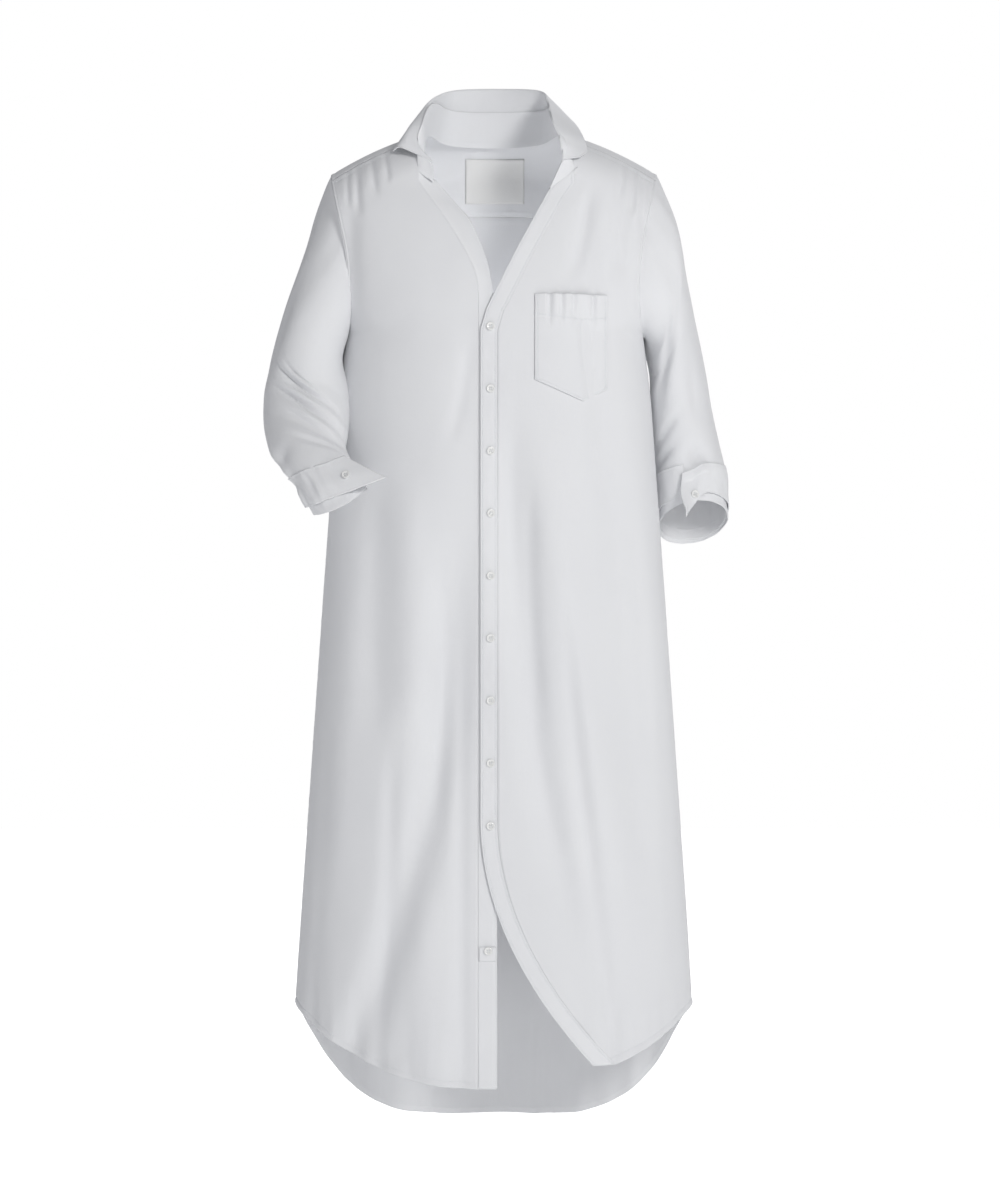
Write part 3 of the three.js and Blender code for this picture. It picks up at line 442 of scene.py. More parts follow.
# %% Edge lines
TOP_EDGE_X, UNDER_SEAM_X, PLACKET_WIDTH = -17.0, -19.5, 21.0
SWEEP_START_Z, SWEEP_RATE = -880.0, 0.00146
NECK_END_RIGHT_Z, NECK_END_LEFT_Z = -62.0, -68.0
TOP_BAND_START_Z, TOP_BAND_SLANT, TOP_BAND_SLANT_END_Z = -50.0, 31.0, -170.0
TOP_NECK_EDGE = table("z x", (-261, -17), (-234, -9), (-158, 29), (-82, 70), (-46, 89))
UNDER_NECK = table(
    "z crease edge turn lap",
    (-238, -19.5, 4, 0, 3),
    (-200, -21, -3, 8, 1.4),
    (-171, -31, -9, 13, 0),
    (-120, -61, -30, 16, 0),
    (-94, -80, -52, 14, 0),
    (-66, -99, -76, 8, 0),
)
COLLAR = table(
    "at neck_x arc top roll edge",
    (0, -77, -104, (1, -4, 20), (-122, -76, -24), (-130, -60, -28)),
    (0.06, -97, -83, (0, 0, 27), (-116, -75, -12), (-127, -56, -22)),
    (0.15, -90, -61, (-1, -4, 35), (-102, -66, 12), (-115, -44, -8)),
    (0.27, -84, -8, (6, 0, 37), (-78, -12, 48), (-98, 10, 18)),
    (0.38, -62, 33, (6, 0, 40), (-52, 50, 69), (-71, 74, 38)),
    (0.5, 0, 46, (2, 2, 42), (4, 74, 75), (5, 98, 36)),
    (0.62, 62, 33, (2, 0, 40), (58, 52, 69), (82, 76, 39)),
    (0.73, 84, -8, (-12, 2, 34), (66, -8, 46), (101, 10, 21)),
    (0.85, 96, -65, (-18, 0, 34), (72, -74, 9), (114, -50, -8)),
    (0.94, 100, -87, (-8, -2, 30), (82, -86, -18), (119, -68, -29)),
    (1, 71, -120, (15, 0, 35), (87, -91, -43), (110, -81, -38)),
)
neck_x = curve(COLLAR, "at", "neck_x")
neck_arc = curve(COLLAR, "at", "arc")
top_neck_edge = stretches(TOP_NECK_EDGE, "z", "x")
under_crease, under_edge, under_turn = (curve(UNDER_NECK, "z", c) for c in ("crease", "edge", "turn"))
under_lap = stretches(UNDER_NECK, "z", "lap")


def hem_z(side, x):
    drop, power = (93, 2.3) if side == FRONT else (166, 4.3)
    return HEM_SIDE_Z - drop * (1 - min(1.0, abs(x) / HEM_HALF_WIDTH) ** power)


def yoke_front_z(x):
    return shoulder_z(x) - ROLL + ROLL * math.cos(YOKE_FRONT_ARC / ROLL)


def yoke_back_z(x):
    return YOKE_BACK_Z - YOKE_BACK_DIP * (x / ARMHOLE[0]["x"]) ** 2


def top_edge_x(z):
    if z > TOP_NECK_EDGE[0]["z"]:
        return top_neck_edge(z)
    return TOP_EDGE_X + SWEEP_RATE * max(0.0, SWEEP_START_Z - z) ** 2


def top_seam_x(z):
    slope = (top_edge_x(z + 4) - top_edge_x(z - 4)) / 8
    return top_edge_x(z) + PLACKET_WIDTH * math.hypot(1, slope)


def neckline(start, end):
    steps = [mix(start, end, i / 60) for i in range(61)]
    rows = [{"x": neck_x(a), "z": shoulder_point(neck_x(a), neck_arc(a)).z} for a in steps]
    return stretches(rows, "z", "x")


def front_seam_at(start, end):
    """Where the neck curve crosses the yoke's front seam."""
    low, high = start, end
    for _ in range(30):
        middle = (low + high) / 2
        low, high = (middle, high) if neck_arc(middle) < -YOKE_FRONT_ARC else (low, middle)
    return low


LEFT_CORNER_AT, RIGHT_CORNER_AT = 0.05, 0.95
left_seam_at = front_seam_at(LEFT_CORNER_AT, 0.3)
right_seam_at = front_seam_at(RIGHT_CORNER_AT, 0.7)
neckline_right = neckline(RIGHT_CORNER_AT, right_seam_at)
neckline_left = neckline(LEFT_CORNER_AT, left_seam_at)
print("neck seams at", round(left_seam_at, 3), round(right_seam_at, 3))


def right_inner_x(z):
    return neckline_right(z) if z > NECK_END_RIGHT_Z else top_seam_x(z)


def left_inner_x(z):
    return neckline_left(z) if z > NECK_END_LEFT_Z else under_crease(z)


# %% [markdown]
# ## From a flat grid to a piece of cloth
# `cloth` starts with `create_grid`, the flat cut of a piece, and lays out its UV map in real
# metres. It then asks a function where each point belongs, by its share across and down the
# piece. A Solidify modifier gives the cloth its thickness on the inner side. Columns and rows
# are crowded towards the edges, where hems and seams need them.

# %% The cloth maker
PIECES = {}


def crowd(share, strength):
    """Moves evenly spaced shares closer together at both ends."""
    return mix(share, smooth(share), strength)


def finish_piece(name, bm, material, nodes, smooth_shading=True):
    mesh = bpy.data.meshes.new(name)
    bm.to_mesh(mesh)
    bm.free()
    mesh.materials.append(material)
    mesh.polygons.foreach_set("use_smooth", [smooth_shading] * len(mesh.polygons))
    piece = bpy.data.objects.new(name, mesh)
    bpy.context.scene.collection.objects.link(piece)
    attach(piece, "root")
    if nodes:
        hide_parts(*nodes)
    PIECES[name] = piece
    return piece


def longest_ways(place, steps=16):
    """The longest way across and down a placed piece, in mm."""
    shares = [i / steps for i in range(steps + 1)]

    def way(points):
        return sum((b - a).length for a, b in zip(points, points[1:]))

    across = max(way([place(a, d) for a in shares]) for d in shares)
    return across, max(way([place(a, d) for d in shares]) for a in shares)


def cloth(name, node, size, share, cells, place, inside, crowding=(0.0, 0.0), thick=0.9,
          closed=False, material=COTTON, rests_on=()):
    """A piece of cloth. size is the width and length of its flat cut in mm; share, how much of
    that rectangle the cut fills, is not used. cells are its columns and rows, and place gives a point in mm
    for the shares (across, down). inside is a point that its faces look away from."""
    bm = bmesh.new()
    bmesh.ops.create_grid(bm, x_segments=cells[0], y_segments=cells[1], size=0.5)
    uv = bm.loops.layers.uv.new("cloth")
    for face in bm.faces:
        for loop in face.loops:
            loop[uv].uv = ((loop.vert.co.x + 0.5) * size[0] * MM, (0.5 - loop.vert.co.y) * size[1] * MM)
    for vert in bm.verts:
        across = crowd(clamp(vert.co.x + 0.5), crowding[0])
        down = crowd(clamp(0.5 - vert.co.y), crowding[1])
        vert.co = place(across, down) * MM
    if closed:
        bmesh.ops.remove_doubles(bm, verts=bm.verts, dist=1e-6)
    bm.faces.ensure_lookup_table()
    bm.normal_update()
    middle = bm.faces[len(bm.faces) // 2 + cells[0] // 2]
    if middle.normal.dot(middle.calc_center_median() - Vector(inside) * MM) < 0:
        bmesh.ops.reverse_faces(bm, faces=bm.faces)
    placed_area = sum(face.calc_area() for face in bm.faces)
    piece = finish_piece(name, bm, material, [node])
    wall = piece.modifiers.new("cloth_thickness", "SOLIDIFY")
    wall.thickness = thick * MM
    wall.offset = -1
    wall.use_rim = True
    list(rests_on)
    across, down = longest_ways(place)
    return piece


# %% [markdown]
# A sewn edge shows as a flat turned-in strip, a shallow ditch where the stitches pull the
# layers together, and small puckers beside it. `sewn` gives that relief for a distance from
# the edge, so every panel can use it along its own seams.

# %% Sewn edges
HEM_DEPTH, SEAM_DEPTH = 7.0, 5.0


def sewn(distance, along, depth=SEAM_DEPTH):
    """Relief in mm beside a sewn edge, at a distance from it and a place along it."""
    if distance > 40:
        return 0.0
    strip = 0.45 * smooth((depth - distance) / 1.2)
    ditch = -0.5 * bell((distance - depth) / 1.4)
    pull = noise.noise(Vector((along / 11, depth, 3.1))) * bell((distance - depth) / 9)
    return strip + ditch + 0.55 * pull


# %% Panels of the body


def flutter(x, above, seed, curl=0.0):
    """How far a hem swings in and out, and how much of two small curls it has."""
    if above > 140:
        return 0.0
    swing = 5 * noise.noise(Vector((x / 44, seed, 0))) + 2 * noise.noise(Vector((x / 15, seed, 4)))
    curls = curl * (5 * bell((x + 122) / 13) + 4 * bell((x - 118) / 12))
    return swing * bell(above / 60) + curls * bell(above / 16)


def settle(height_of, x_of, first):
    z = first
    for _ in range(12):
        z = mix(z, height_of(x_of(z)), 0.7)
    return z


def side_angle(z):
    return math.pi / 2 if z < ARMHOLE_BOTTOM_Z else angle_of(armhole_x(z), z)


def panel(side, inner_x, outer_angle, top_z, seam_at_inner, extra=None):
    """Where the points of a body panel belong."""
    heights = {}

    def place(across, down):
        def x_at(z):
            return width_of(mix(angle_of(inner_x(z), z), outer_angle(z), across), z)

        if across not in heights:
            bottom = settle(lambda x: hem_z(side, x), x_at, HEM_SIDE_Z)
            heights[across] = (settle(top_z, x_at, ARMHOLE_TOP_Z), bottom)
        top, bottom = heights[across]
        z = mix(top, bottom, down)
        x = x_at(z)
        width = 1.25 * abs(half_width(z) - abs(inner_x(z)) * (1 if side == FRONT else 0))
        relief = sewn((1 - across) * width, z)
        relief += sewn((top - z), x + 500) + sewn(z - bottom, x, HEM_DEPTH) + flutter(x, z - bottom, 2, 1.0)
        if seam_at_inner:
            relief += sewn(across * width, z + 900)
        point = offset_point(side, x, z, relief)
        return extra(point) if extra else point

    return place


def lap_under(point):
    if point.z < -171:
        point.y += under_lap(point.z) * bell((point.x - UNDER_SEAM_X) / 26)
    return point


front_left = panel(FRONT, right_inner_x, side_angle, yoke_front_z, False)
front_right = panel(FRONT, left_inner_x, lambda z: -side_angle(z), yoke_front_z, False, lap_under)
BODY_MIDDLE = (0, 0, -500)
FRONT_CUT, FRONT_SHARE = (320, 1240), 0.75
FRONT_CELLS, FRONT_CROWDING = (84, 200), (0.6, 0.7)
cloth("cloth_front_left", "front_left", FRONT_CUT, FRONT_SHARE, FRONT_CELLS, front_left, BODY_MIDDLE,
      FRONT_CROWDING, rests_on=["cloth_yoke"])
cloth("cloth_front_right", "front_right", FRONT_CUT, FRONT_SHARE, FRONT_CELLS, front_right, BODY_MIDDLE,
      FRONT_CROWDING, rests_on=["cloth_yoke"])

# %% [markdown]
# ## The back
# The back is one wide panel from the yoke to the long tail, with soft folds where it falls
# from the shoulder blades. It is made as the fronts are, from one side seam to the other.

# %% The back panel


def back_panel():
    heights = {}

    def place(across, down):
        share = 2 * across - 1

        def x_at(z):
            return width_of(side_angle(z) * share, z)

        if across not in heights:
            bottom = settle(lambda x: hem_z(BACK, x), x_at, HEM_SIDE_Z)
            heights[across] = (settle(yoke_back_z, x_at, YOKE_BACK_Z), bottom)
        top, bottom = heights[across]
        z = mix(top, bottom, down)
        x = x_at(z)
        relief = sewn((1 - abs(share)) * 1.25 * half_width(z), z + 300)
        relief += sewn(top - z, x + 700) + sewn(z - bottom, x + 200, HEM_DEPTH)
        relief += flutter(x, z - bottom, 7)
        return offset_point(BACK, x, z, relief)

    return place


back = back_panel()
cloth("cloth_back", "back_panel", (790, 1205), 0.72, (150, 190), back, BODY_MIDDLE, (0.5, 0.7),
      rests_on=["cloth_yoke"])

# %% [markdown]
# ## The yoke
# The yoke runs over both shoulders and round the back neck. Its columns fan out from the neck
# edge to the armholes and the back seam.

# %% The yoke piece
YOKE_CORNER = 0.45


def back_arc(x, z):
    return ROLL_ARC + shoulder_z(x) - ROLL - z


def yoke_outer(share):
    corner_x = armhole_x(YOKE_BACK_Z - YOKE_BACK_DIP)
    if share > YOKE_CORNER:
        x = mix(corner_x, 0, (share - YOKE_CORNER) / (1 - YOKE_CORNER))
        return x, back_arc(x, yoke_back_z(x))
    arc = mix(-YOKE_FRONT_ARC, back_arc(corner_x, yoke_back_z(corner_x)), share / YOKE_CORNER)
    x = corner_x
    for _ in range(8):
        x = armhole_x(shoulder_point(x, arc).z)
    return x, arc


def yoke_place(across, down):
    share = 1 - abs(2 * across - 1)
    sign = 1 if across < 0.5 else -1
    at = mix(right_seam_at if sign > 0 else left_seam_at, 0.5, share)
    x, arc = yoke_outer(share)
    point = shoulder_point(mix(neck_x(at), sign * x, down), mix(neck_arc(at), arc, down))
    out = Vector((point.x * 0.4, point.y, 60)).normalized()
    long = 150 * (1 - 0.4 * share)
    return point + out * (sewn((1 - down) * long, across * 800) + 0.3)


cloth("cloth_yoke", "yoke", (430, 190), 0.82, (150, 40), yoke_place, (0, 0, -120), (0.0, 0.6), thick=1.4)

# %% [markdown]
# ## The plackets
# A placket is a folded band, so it is doubled cloth with two rows of stitching. The top band
# runs along the free edge of the top front. The under band lies flat beneath it and turns
# inwards where the neck is open.

# %% The two bands
TOP_END_Z = settle(lambda x: hem_z(FRONT, x), top_seam_x, HEM_SIDE_Z)
UNDER_END_Z, UNDER_BAND_SLANT = hem_z(FRONT, UNDER_SEAM_X), 18.0
BAND_TUCK, BAND_TUCK_FROM_Z, BAND_TUCK_RUN = 4.0, -90.0, 24.0


def top_band(across, down):
    z = mix(TOP_BAND_START_Z, TOP_END_Z, down)
    slant = clamp((z - TOP_BAND_SLANT_END_Z) / (TOP_BAND_START_Z - TOP_BAND_SLANT_END_Z))
    edge_z = z - TOP_BAND_SLANT * slant
    seam_x = min(top_seam_x(z), neckline_right(z) + 2) if z > NECK_END_RIGHT_Z - 4 else top_seam_x(z)
    seam_x += BAND_TUCK * clamp((z - BAND_TUCK_FROM_Z) / BAND_TUCK_RUN)
    x, height = mix(top_edge_x(edge_z), seam_x, across), mix(edge_z, z, across)
    from_edge = PLACKET_WIDTH * across
    relief = 0.4 - 0.25 * bell((from_edge - 2.5) / 1.3) - 0.4 * bell((from_edge - 18.5) / 1.3)
    relief += 0.35 * noise.noise(Vector((z / 14, across * 2, 1.7)))
    return offset_point(FRONT, x, height, relief)


def under_band(across, down):
    z = mix(NECK_END_LEFT_Z + UNDER_BAND_SLANT * (1 - across), UNDER_END_Z, down)
    crease = left_inner_x(z) if z < NECK_END_LEFT_Z else under_crease(z)
    point = body_point(FRONT, mix(crease, under_edge(z), across), z)
    point.y += under_lap(z) + under_turn(z) * across**1.3
    from_edge = PLACKET_WIDTH * (1 - across)
    relief = 0.5 * bell((from_edge - 2.5) / 1.3) + 0.3 * noise.noise(Vector((z / 16, across, 5.2)))
    point.y += relief
    return point


cloth("cloth_placket_top", "placket_top", (22, 1215), 1.0, (22, 300), top_band, BODY_MIDDLE, thick=1.6,
      material=FACING, rests_on=["cloth_front_left"])
cloth("cloth_placket_under", "placket_under", (30, 1195), 0.8, (22, 300), under_band, (-60, 0, -500),
      thick=1.6, material=FACING, rests_on=["cloth_front_right"])

# %% [markdown]
# ## The collar
# The stand follows the neck edge and leans in. The leaf grows from its top, rises behind the
# neck, rolls over and ends in two spread points. Both are ruled from one table: for each
# place along the neck it gives the stand's top, the roll and the leaf's free edge.

# %% Stand and leaf
NECK_MIDDLE = Vector((0, -10, 0))
STAND_DROP, STAND_END, FOLD_LENGTH = 5.0, 0.05, 8.0
collar_axes = {
    part: [curve([{"at": r["at"], "v": r[part][i]} for r in COLLAR], "at", "v") for i in range(3)]
    for part in ("top", "roll", "edge")
}


def collar_lines(at):
    neck = shoulder_point(neck_x(at), neck_arc(at))
    top, roll, edge = (Vector([axis(at) for axis in collar_axes[part]]) for part in ("top", "roll", "edge"))
    return neck, neck + top, roll, edge


def outward_from_neck(point):
    return Vector((point.x, point.y - NECK_MIDDLE.y, 0)).normalized()


def stand_place(across, down):
    neck, top, _, _ = collar_lines(across)
    height = (top - neck).length
    from_end = min(1.0, min(across, 1 - across) / STAND_END)
    rounded = 0.2 + 0.8 * math.sqrt(1 - (1 - from_end) ** 2)
    above = mix(height * rounded + 1.5, -STAND_DROP, down)
    stitched = bell((above - 1.5) / 1.2)
    point = neck + (top - neck) * (above / height)
    return point + outward_from_neck(point) * (0.6 - 0.35 * stitched)


def leaf_place(across, down):
    """Up from the stand, round a soft fold and down again to the free edge."""
    _, top, roll, edge = collar_lines(across)
    rise, fall = (roll - top).length, (edge - roll).length
    soft = min(FOLD_LENGTH, 0.48 * rise, 0.48 * fall)
    run = (rise + fall) * down
    if run < rise - soft:
        point = top.lerp(roll, run / rise)
    elif run > rise + soft:
        point = roll.lerp(edge, (run - rise) / fall)
    else:
        t = (run - rise + soft) / (2 * soft)
        start, end = roll.lerp(top, soft / rise), roll.lerp(edge, soft / fall)
        point = start * (1 - t) ** 2 + roll * 2 * t * (1 - t) + end * t * t
    from_edge = min((rise + fall) * (1 - down), 400 * min(across, 1 - across))
    wave = noise.noise(Vector((across * 9, down * 2, 8.0))) * 1.5 * smooth(down * 3)
    return point + outward_from_neck(point) * (0.6 + wave - 0.35 * bell((from_edge - 4) / 1.3))


cloth("cloth_collar_stand", "collar_stand", (540, 45), 0.8, (160, 20), stand_place, (0, 0, 20), (0.4, 0.3),
      thick=1.8, material=FACING, rests_on=["cloth_yoke"])
cloth("cloth_collar_leaf", "collar_leaf", (520, 75), 0.75, (180, 44), leaf_place, (0, 20, -40), (0.5, 0.2),
      thick=1.8, material=FACING, rests_on=["cloth_collar_stand"])

# %% [markdown]
# ## The sleeves
# A sleeve is a soft tube. Each row of its table is one oval: its outer and inner point, its
# half depth, and how much of the armhole's own shape it keeps. Creases at the elbow are short
# troughs that run slantwise round the arm. The tables are written for the wearer's left arm
# side, and the right arm is mirrored.

# %% Sleeve tables
RINGS = "out_x out_y out_z in_x in_y in_z half lift armhole"
LEFT_ARM_RINGS = table(
    RINGS,
    (211, 0, -52, 193.5, 0, -262, 62, 0, 1),
    (223, 2, -76, 201, 1, -265, 64, 0, 0.8),
    (234, 4, -115, 204, 6, -279, 62, 0, 0.45),
    (246, 8, -165, 203, 20, -294, 62, 0, 0.18),
    (257, 13, -215, 204, 32, -312, 61, 0, 0),
    (267, 19, -262, 205, 42, -334, 59, 0, 0),
    (276, 25, -310, 207, 48, -360, 56, 0, 0),
    (284, 30, -355, 208, 50, -388, 54, 4, 0),
    (294, 33, -398, 210, 50, -420, 52, 8, 0),
    (303, 34, -435, 212, 50, -452, 50, 14, 0),
    (304, 34, -466, 214, 48, -482, 49, 20, 0),
    (305, 34, -490, 216, 46, -508, 48, 24, 0),
    (305, 34, -510, 218, 46, -530, 47, 28, 0),
)
RIGHT_ARM_RINGS = table(
    RINGS,
    (211, 0, -52, 193.5, 0, -262, 62, 0, 1),
    (224, 0, -76, 197, -2, -268, 63, 0, 0.8),
    (236, -1, -114, 197.5, -12, -279, 63, 0, 0.45),
    (250, -3, -164, 196, -34, -296, 62, 0, 0.18),
    (262, -5, -214, 194, -50, -312, 61, 0, 0),
    (274, -6, -263, 192, -60, -330, 59, 0, 0),
    (284, -6, -310, 191, -68, -347, 56, 0, 0),
    (291, -14, -352, 191, -80, -364, 54, -2, 0),
    (289, -40, -392, 192, -94, -382, 52, -8, 0),
    (277, -74, -424, 194, -106, -402, 52, -14, 0),
    (261, -102, -448, 186, -119, -422, 52, -18, 0),
    (245, -121, -468, 175, -128, -441, 52, -22, 0),
    (231, -133, -486, 165, -134, -458, 54, -26, 0),
    (222, -139, -498, 160, -137, -470, 56, -28, 0),
)
CREASES = "ring angle along round slope depth"
RIGHT_ARM_CREASES = table(
    CREASES,
    (6.7, 2.1, 0.32, 0.7, 0.9, 8),
    (7.7, 2.2, 0.3, 0.8, 0.9, 9),
    (8.6, 2.2, 0.3, 0.8, 0.8, 7),
    (10.6, 0.6, 0.5, 0.5, -0.6, 6),
    (4.6, 0.9, 1.3, 0.35, 0, 6),
    (5.9, 1.9, 0.09, 0.42, 1.0, 4),
    (6.3, 1.7, 0.1, 0.5, 1.1, 4.5),
    (6.8, 1.9, 0.1, 0.45, 1.1, 4.5),
    (7.3, 1.75, 0.11, 0.5, 1.0, 5),
    (8.2, 2.0, 0.12, 0.5, 0.9, 4),
    (9.3, 2.2, 0.16, 0.5, 0.7, 4),
    (10.0, 0.1, 1.7, 0.24, 0.4, 16),
    (9.8, 0.66, 1.5, 0.2, 0.4, -6),
    (9.6, 0.9, 0.3, 0.5, -0.5, 4),
    (2.2, 1.1, 0.9, 0.16, 0, 3),
    (1.2, 0.5, 0.7, 0.14, 0, 3),
    (1.3, 0.9, 0.8, 0.13, 0, 3),
)
LEFT_ARM_CREASES = table(
    CREASES,
    (4.4, 2.0, 1.5, 0.35, 0.1, 9),
    (8.6, 1.2, 0.6, 0.3, 0.5, 9),
    (7.6, 4.4, 0.5, 0.7, 0.7, 7),
    (6.4, 4.8, 0.4, 0.6, -0.7, 6),
    (7.2, 1.9, 0.3, 0.5, 0.8, 4),
    (8.2, 2.2, 0.25, 0.5, 0.7, 4),
    (6.2, 0.8, 0.8, 0.2, 0.2, 3),
    (1.3, 0.6, 0.8, 0.14, 0, 3),
    (1.4, 1.0, 0.8, 0.14, 0, 3),
    (2.4, 1.5, 1.0, 0.2, 0, 4),
)

# %% The sleeve form


def sleeve_form(rings, creases, sign):
    rows = [dict(row, at=i) for i, row in enumerate(rings)]
    axis = {name: curve(rows, "at", name) for name in RINGS.split()[:8]}
    share_of_armhole = stretches(rows, "at", "armhole")
    last = len(rings) - 1

    def ends(ring):
        outer = Vector([axis[n](ring) for n in ("out_x", "out_y", "out_z")])
        return outer, Vector([axis[n](ring) for n in ("in_x", "in_y", "in_z")])

    def centre(ring):
        outer, inner = ends(ring)
        return (outer + inner) / 2

    def armhole_point(angle):
        z = mix(ARMHOLE_BOTTOM_Z, ARMHOLE_TOP_Z, (1 + math.cos(angle)) / 2)
        side = FRONT if math.sin(angle) >= 0 else BACK
        x = armhole_x(z)
        y = 0 if abs(math.sin(angle)) < 1e-6 else body_point(side, sign * x, z).y
        return Vector((x, y, z))

    def place(ring, angle, offset=0.0):
        outer, inner = ends(ring)
        middle, wide = (outer + inner) / 2, (outer - inner) / 2
        along = centre(min(ring + 0.4, last)) - centre(max(ring - 0.4, 0))
        deep = along.normalized().cross(wide).normalized() * axis["half"](ring)
        deep.z += axis["lift"](ring)
        pinch = 0.0
        for c in creases:
            turn = math.atan2(math.sin(angle - c["angle"]), math.cos(angle - c["angle"]))
            away = ring - c["ring"] - c["slope"] * turn
            pinch += c["depth"] * bell(away / c["along"]) * bell(turn / c["round"])
        arm = middle + wide * math.cos(angle) + deep * math.sin(angle)
        point = arm.lerp(armhole_point(angle), share_of_armhole(ring))
        spoke = (point - middle).normalized()
        uneven = rumple(60 * math.cos(angle) + sign * 90, 60 * math.sin(angle), 34 * ring, min(1.0, ring))
        point += spoke * (offset - pinch + uneven)
        point.x *= sign
        return point

    return place


SLEEVES = {
    "left": dict(form=sleeve_form(LEFT_ARM_RINGS, LEFT_ARM_CREASES, 1), last=11, cut=(560, 455)),
    "right": dict(form=sleeve_form(RIGHT_ARM_RINGS, RIGHT_ARM_CREASES, -1), last=12, cut=(560, 505)),
}
for side, sleeve in SLEEVES.items():
    def sleeve_place(across, down, sleeve=sleeve):
        ring = sleeve["last"] * down
        relief = sewn(35 * ring, across * 480) if ring < 1.2 else 0.0
        return sleeve["form"](ring, 2 * math.pi * across, relief)

    inside = sleeve["form"](5, 0).lerp(sleeve["form"](5, math.pi), 0.5)
    cloth(f"cloth_sleeve_{side}", f"sleeve_{side}", sleeve["cut"], 0.45, (110, 200), sleeve_place, inside,
          (0.0, 0.25), closed=True, rests_on=["cloth_yoke", "cloth_back"])

# %% [markdown]
# ## The turned-back cuffs
# The cuffs are unbuttoned and folded up over the sleeves. Each is a doubled band round most
# of the arm whose free end stands off as a flap, with a second turn of cloth below it.

# %% Cuffs
SLEEVE_COLUMNS = 20
CUFF_COLUMNS = "side part first last start end offset spread heel flap run_x run_y run_z pleats curl"
CUFFS = table(
    CUFF_COLUMNS,
    ("left", "", 8.9, 10.6, 5.2, 22.8, 1.6, 3, 40, 54, -0.9, -0.26, -0.34, 1.0, 1.3),
    ("right", "", 10.35, 11.9, 11, 26.5, 1.4, 5, 30, 60, 0.93, 0.05, 0.36, 3.4, 0),
    ("left", "_turn", 10.45, 11.15, 5, 25, 0.6, 2.4, 6, 8, 0, 0, 0, 0.9, 0),
    ("right", "_turn", 11.75, 12.6, 12, 28.5, 0.8, 2, 16, 18, 0, 0, 0, 0.9, 0),
)


def cuff_form(cuff):
    form = SLEEVES[cuff["side"]]["form"]
    away = Vector((cuff["run_x"], cuff["run_y"], cuff["run_z"]))

    def angle(column):
        return 2 * math.pi * column / SLEEVE_COLUMNS

    def on_arm(share, down):
        column = mix(cuff["start"], cuff["end"], share)
        wavy = 0.1 * noise.noise(Vector((share * 6, 3.1 * cuff["first"], down * 0.7)))
        ring = mix(cuff["first"], cuff["last"], down) + wavy
        gathers = cuff["pleats"] * noise.noise(Vector((share * 24, down * 1.6, cuff["last"])))
        stitched = -0.4 * (bell((down - 0.93) / 0.02) + bell((down - 0.07) / 0.02))
        lift = cuff["offset"] + cuff["spread"] * share * down + gathers + stitched
        return form(ring, angle(column), lift)

    def place(across, down):
        wrap = 0.78
        if across <= wrap:
            return on_arm(across / wrap, down)
        tip, before = on_arm(1, down), on_arm(0.96, down)
        run = (tip - before).normalized()
        t = (across - wrap) / (1 - wrap)
        if away.length > 0:
            run = run.lerp(away, smooth(t * 1.6)).normalized()
        length = mix(cuff["heel"], cuff["flap"], down)
        turn = cuff["curl"] * smooth(down * 1.5 - 0.3)
        if turn < 0.05:
            return tip + run * length * t + Vector((0, -2.5 * math.sin(t * math.pi), 0))
        radius = length / turn
        outward = Vector((0, -0.8, -0.6)) * radius * (1 - math.cos(turn * t))
        return tip + run * radius * math.sin(turn * t) + outward

    return place


CUFF_CUTS = {
    "cuff_left": (340, 50),
    "cuff_right": (280, 38),
    "cuff_left_turn": (330, 17),
    "cuff_right_turn": (250, 14),
}

for cuff in CUFFS:
    name = f"cuff_{cuff['side']}{cuff['part']}"
    form = SLEEVES[cuff["side"]]["form"]
    inside = form(cuff["last"], 0).lerp(form(cuff["last"], math.pi), 0.5)
    size = CUFF_CUTS[name]
    cloth(f"cloth_{name}", name, size, 1.0, (120, 30), cuff_form(cuff), inside, thick=1.6, material=FACING,
          rests_on=[f"cloth_sleeve_{cuff['side']}"])

# %% [markdown]
# ## The chest pocket
# A patch pocket with a pointed bottom is sewn on round three sides. Its mouth gapes a little,
# with small pleats where the cloth is gathered into the hem.

# %% The pocket
POCKET = dict(left=52, right=144, top=-216, left_z=-325, point_x=113, point_z=-352, right_z=-336)
POCKET_HEM = 30.0
POCKET_PLEATS, PLEAT_WIDTH, PLEAT_DEPTH = (0.2, 0.36, 0.52, 0.8), 0.035, 4.2


def pocket_place(across, down):
    x = mix(POCKET["left"], POCKET["right"], across)
    is_left = x < POCKET["point_x"]
    from_x = POCKET["left"] if is_left else POCKET["right"]
    from_z = POCKET["left_z"] if is_left else POCKET["right_z"]
    bottom = mix(from_z, POCKET["point_z"], (x - from_x) / (POCKET["point_x"] - from_x))
    z = mix(POCKET["top"], bottom, down)
    gape = 5.5 * bell(down * 5 / 1.2) * math.sin(math.pi * across)
    from_top = POCKET["top"] - z
    near_pleat = sum(bell((across - p) / PLEAT_WIDTH) for p in POCKET_PLEATS)
    pleats = -PLEAT_DEPTH * near_pleat * smooth(1.4 - from_top / 34)
    edge = min((x - POCKET["left"]), (POCKET["right"] - x), z - bottom)
    relief = -0.4 * bell((edge - 2.5) / 1.3) - 0.4 * bell((from_top - POCKET_HEM) / 1.5)
    fold = -6.0 * bell((x - mix(112, 124, down)) / 8) * smooth(down * 3)
    return offset_point(FRONT, x, z, 2.2 + gape + pleats + relief + fold * (1 - down * 0.6))


cloth("cloth_chest_pocket", "chest_pocket", (105, 136), 0.9, (70, 90), pocket_place, BODY_MIDDLE, (0.4, 0.3),
      thick=1.2, rests_on=["cloth_front_left"])

# %% [markdown]
# ## Label and tab
# The label is a bare tape on the inside of the yoke. The tab is the small patch that backs
# the last button of the under front.

# %% Two patches


def patch(side, left, right, top, bottom, distance):
    def place(across, down):
        return offset_point(side, mix(left, right, across), mix(top, bottom, down), distance)

    return place


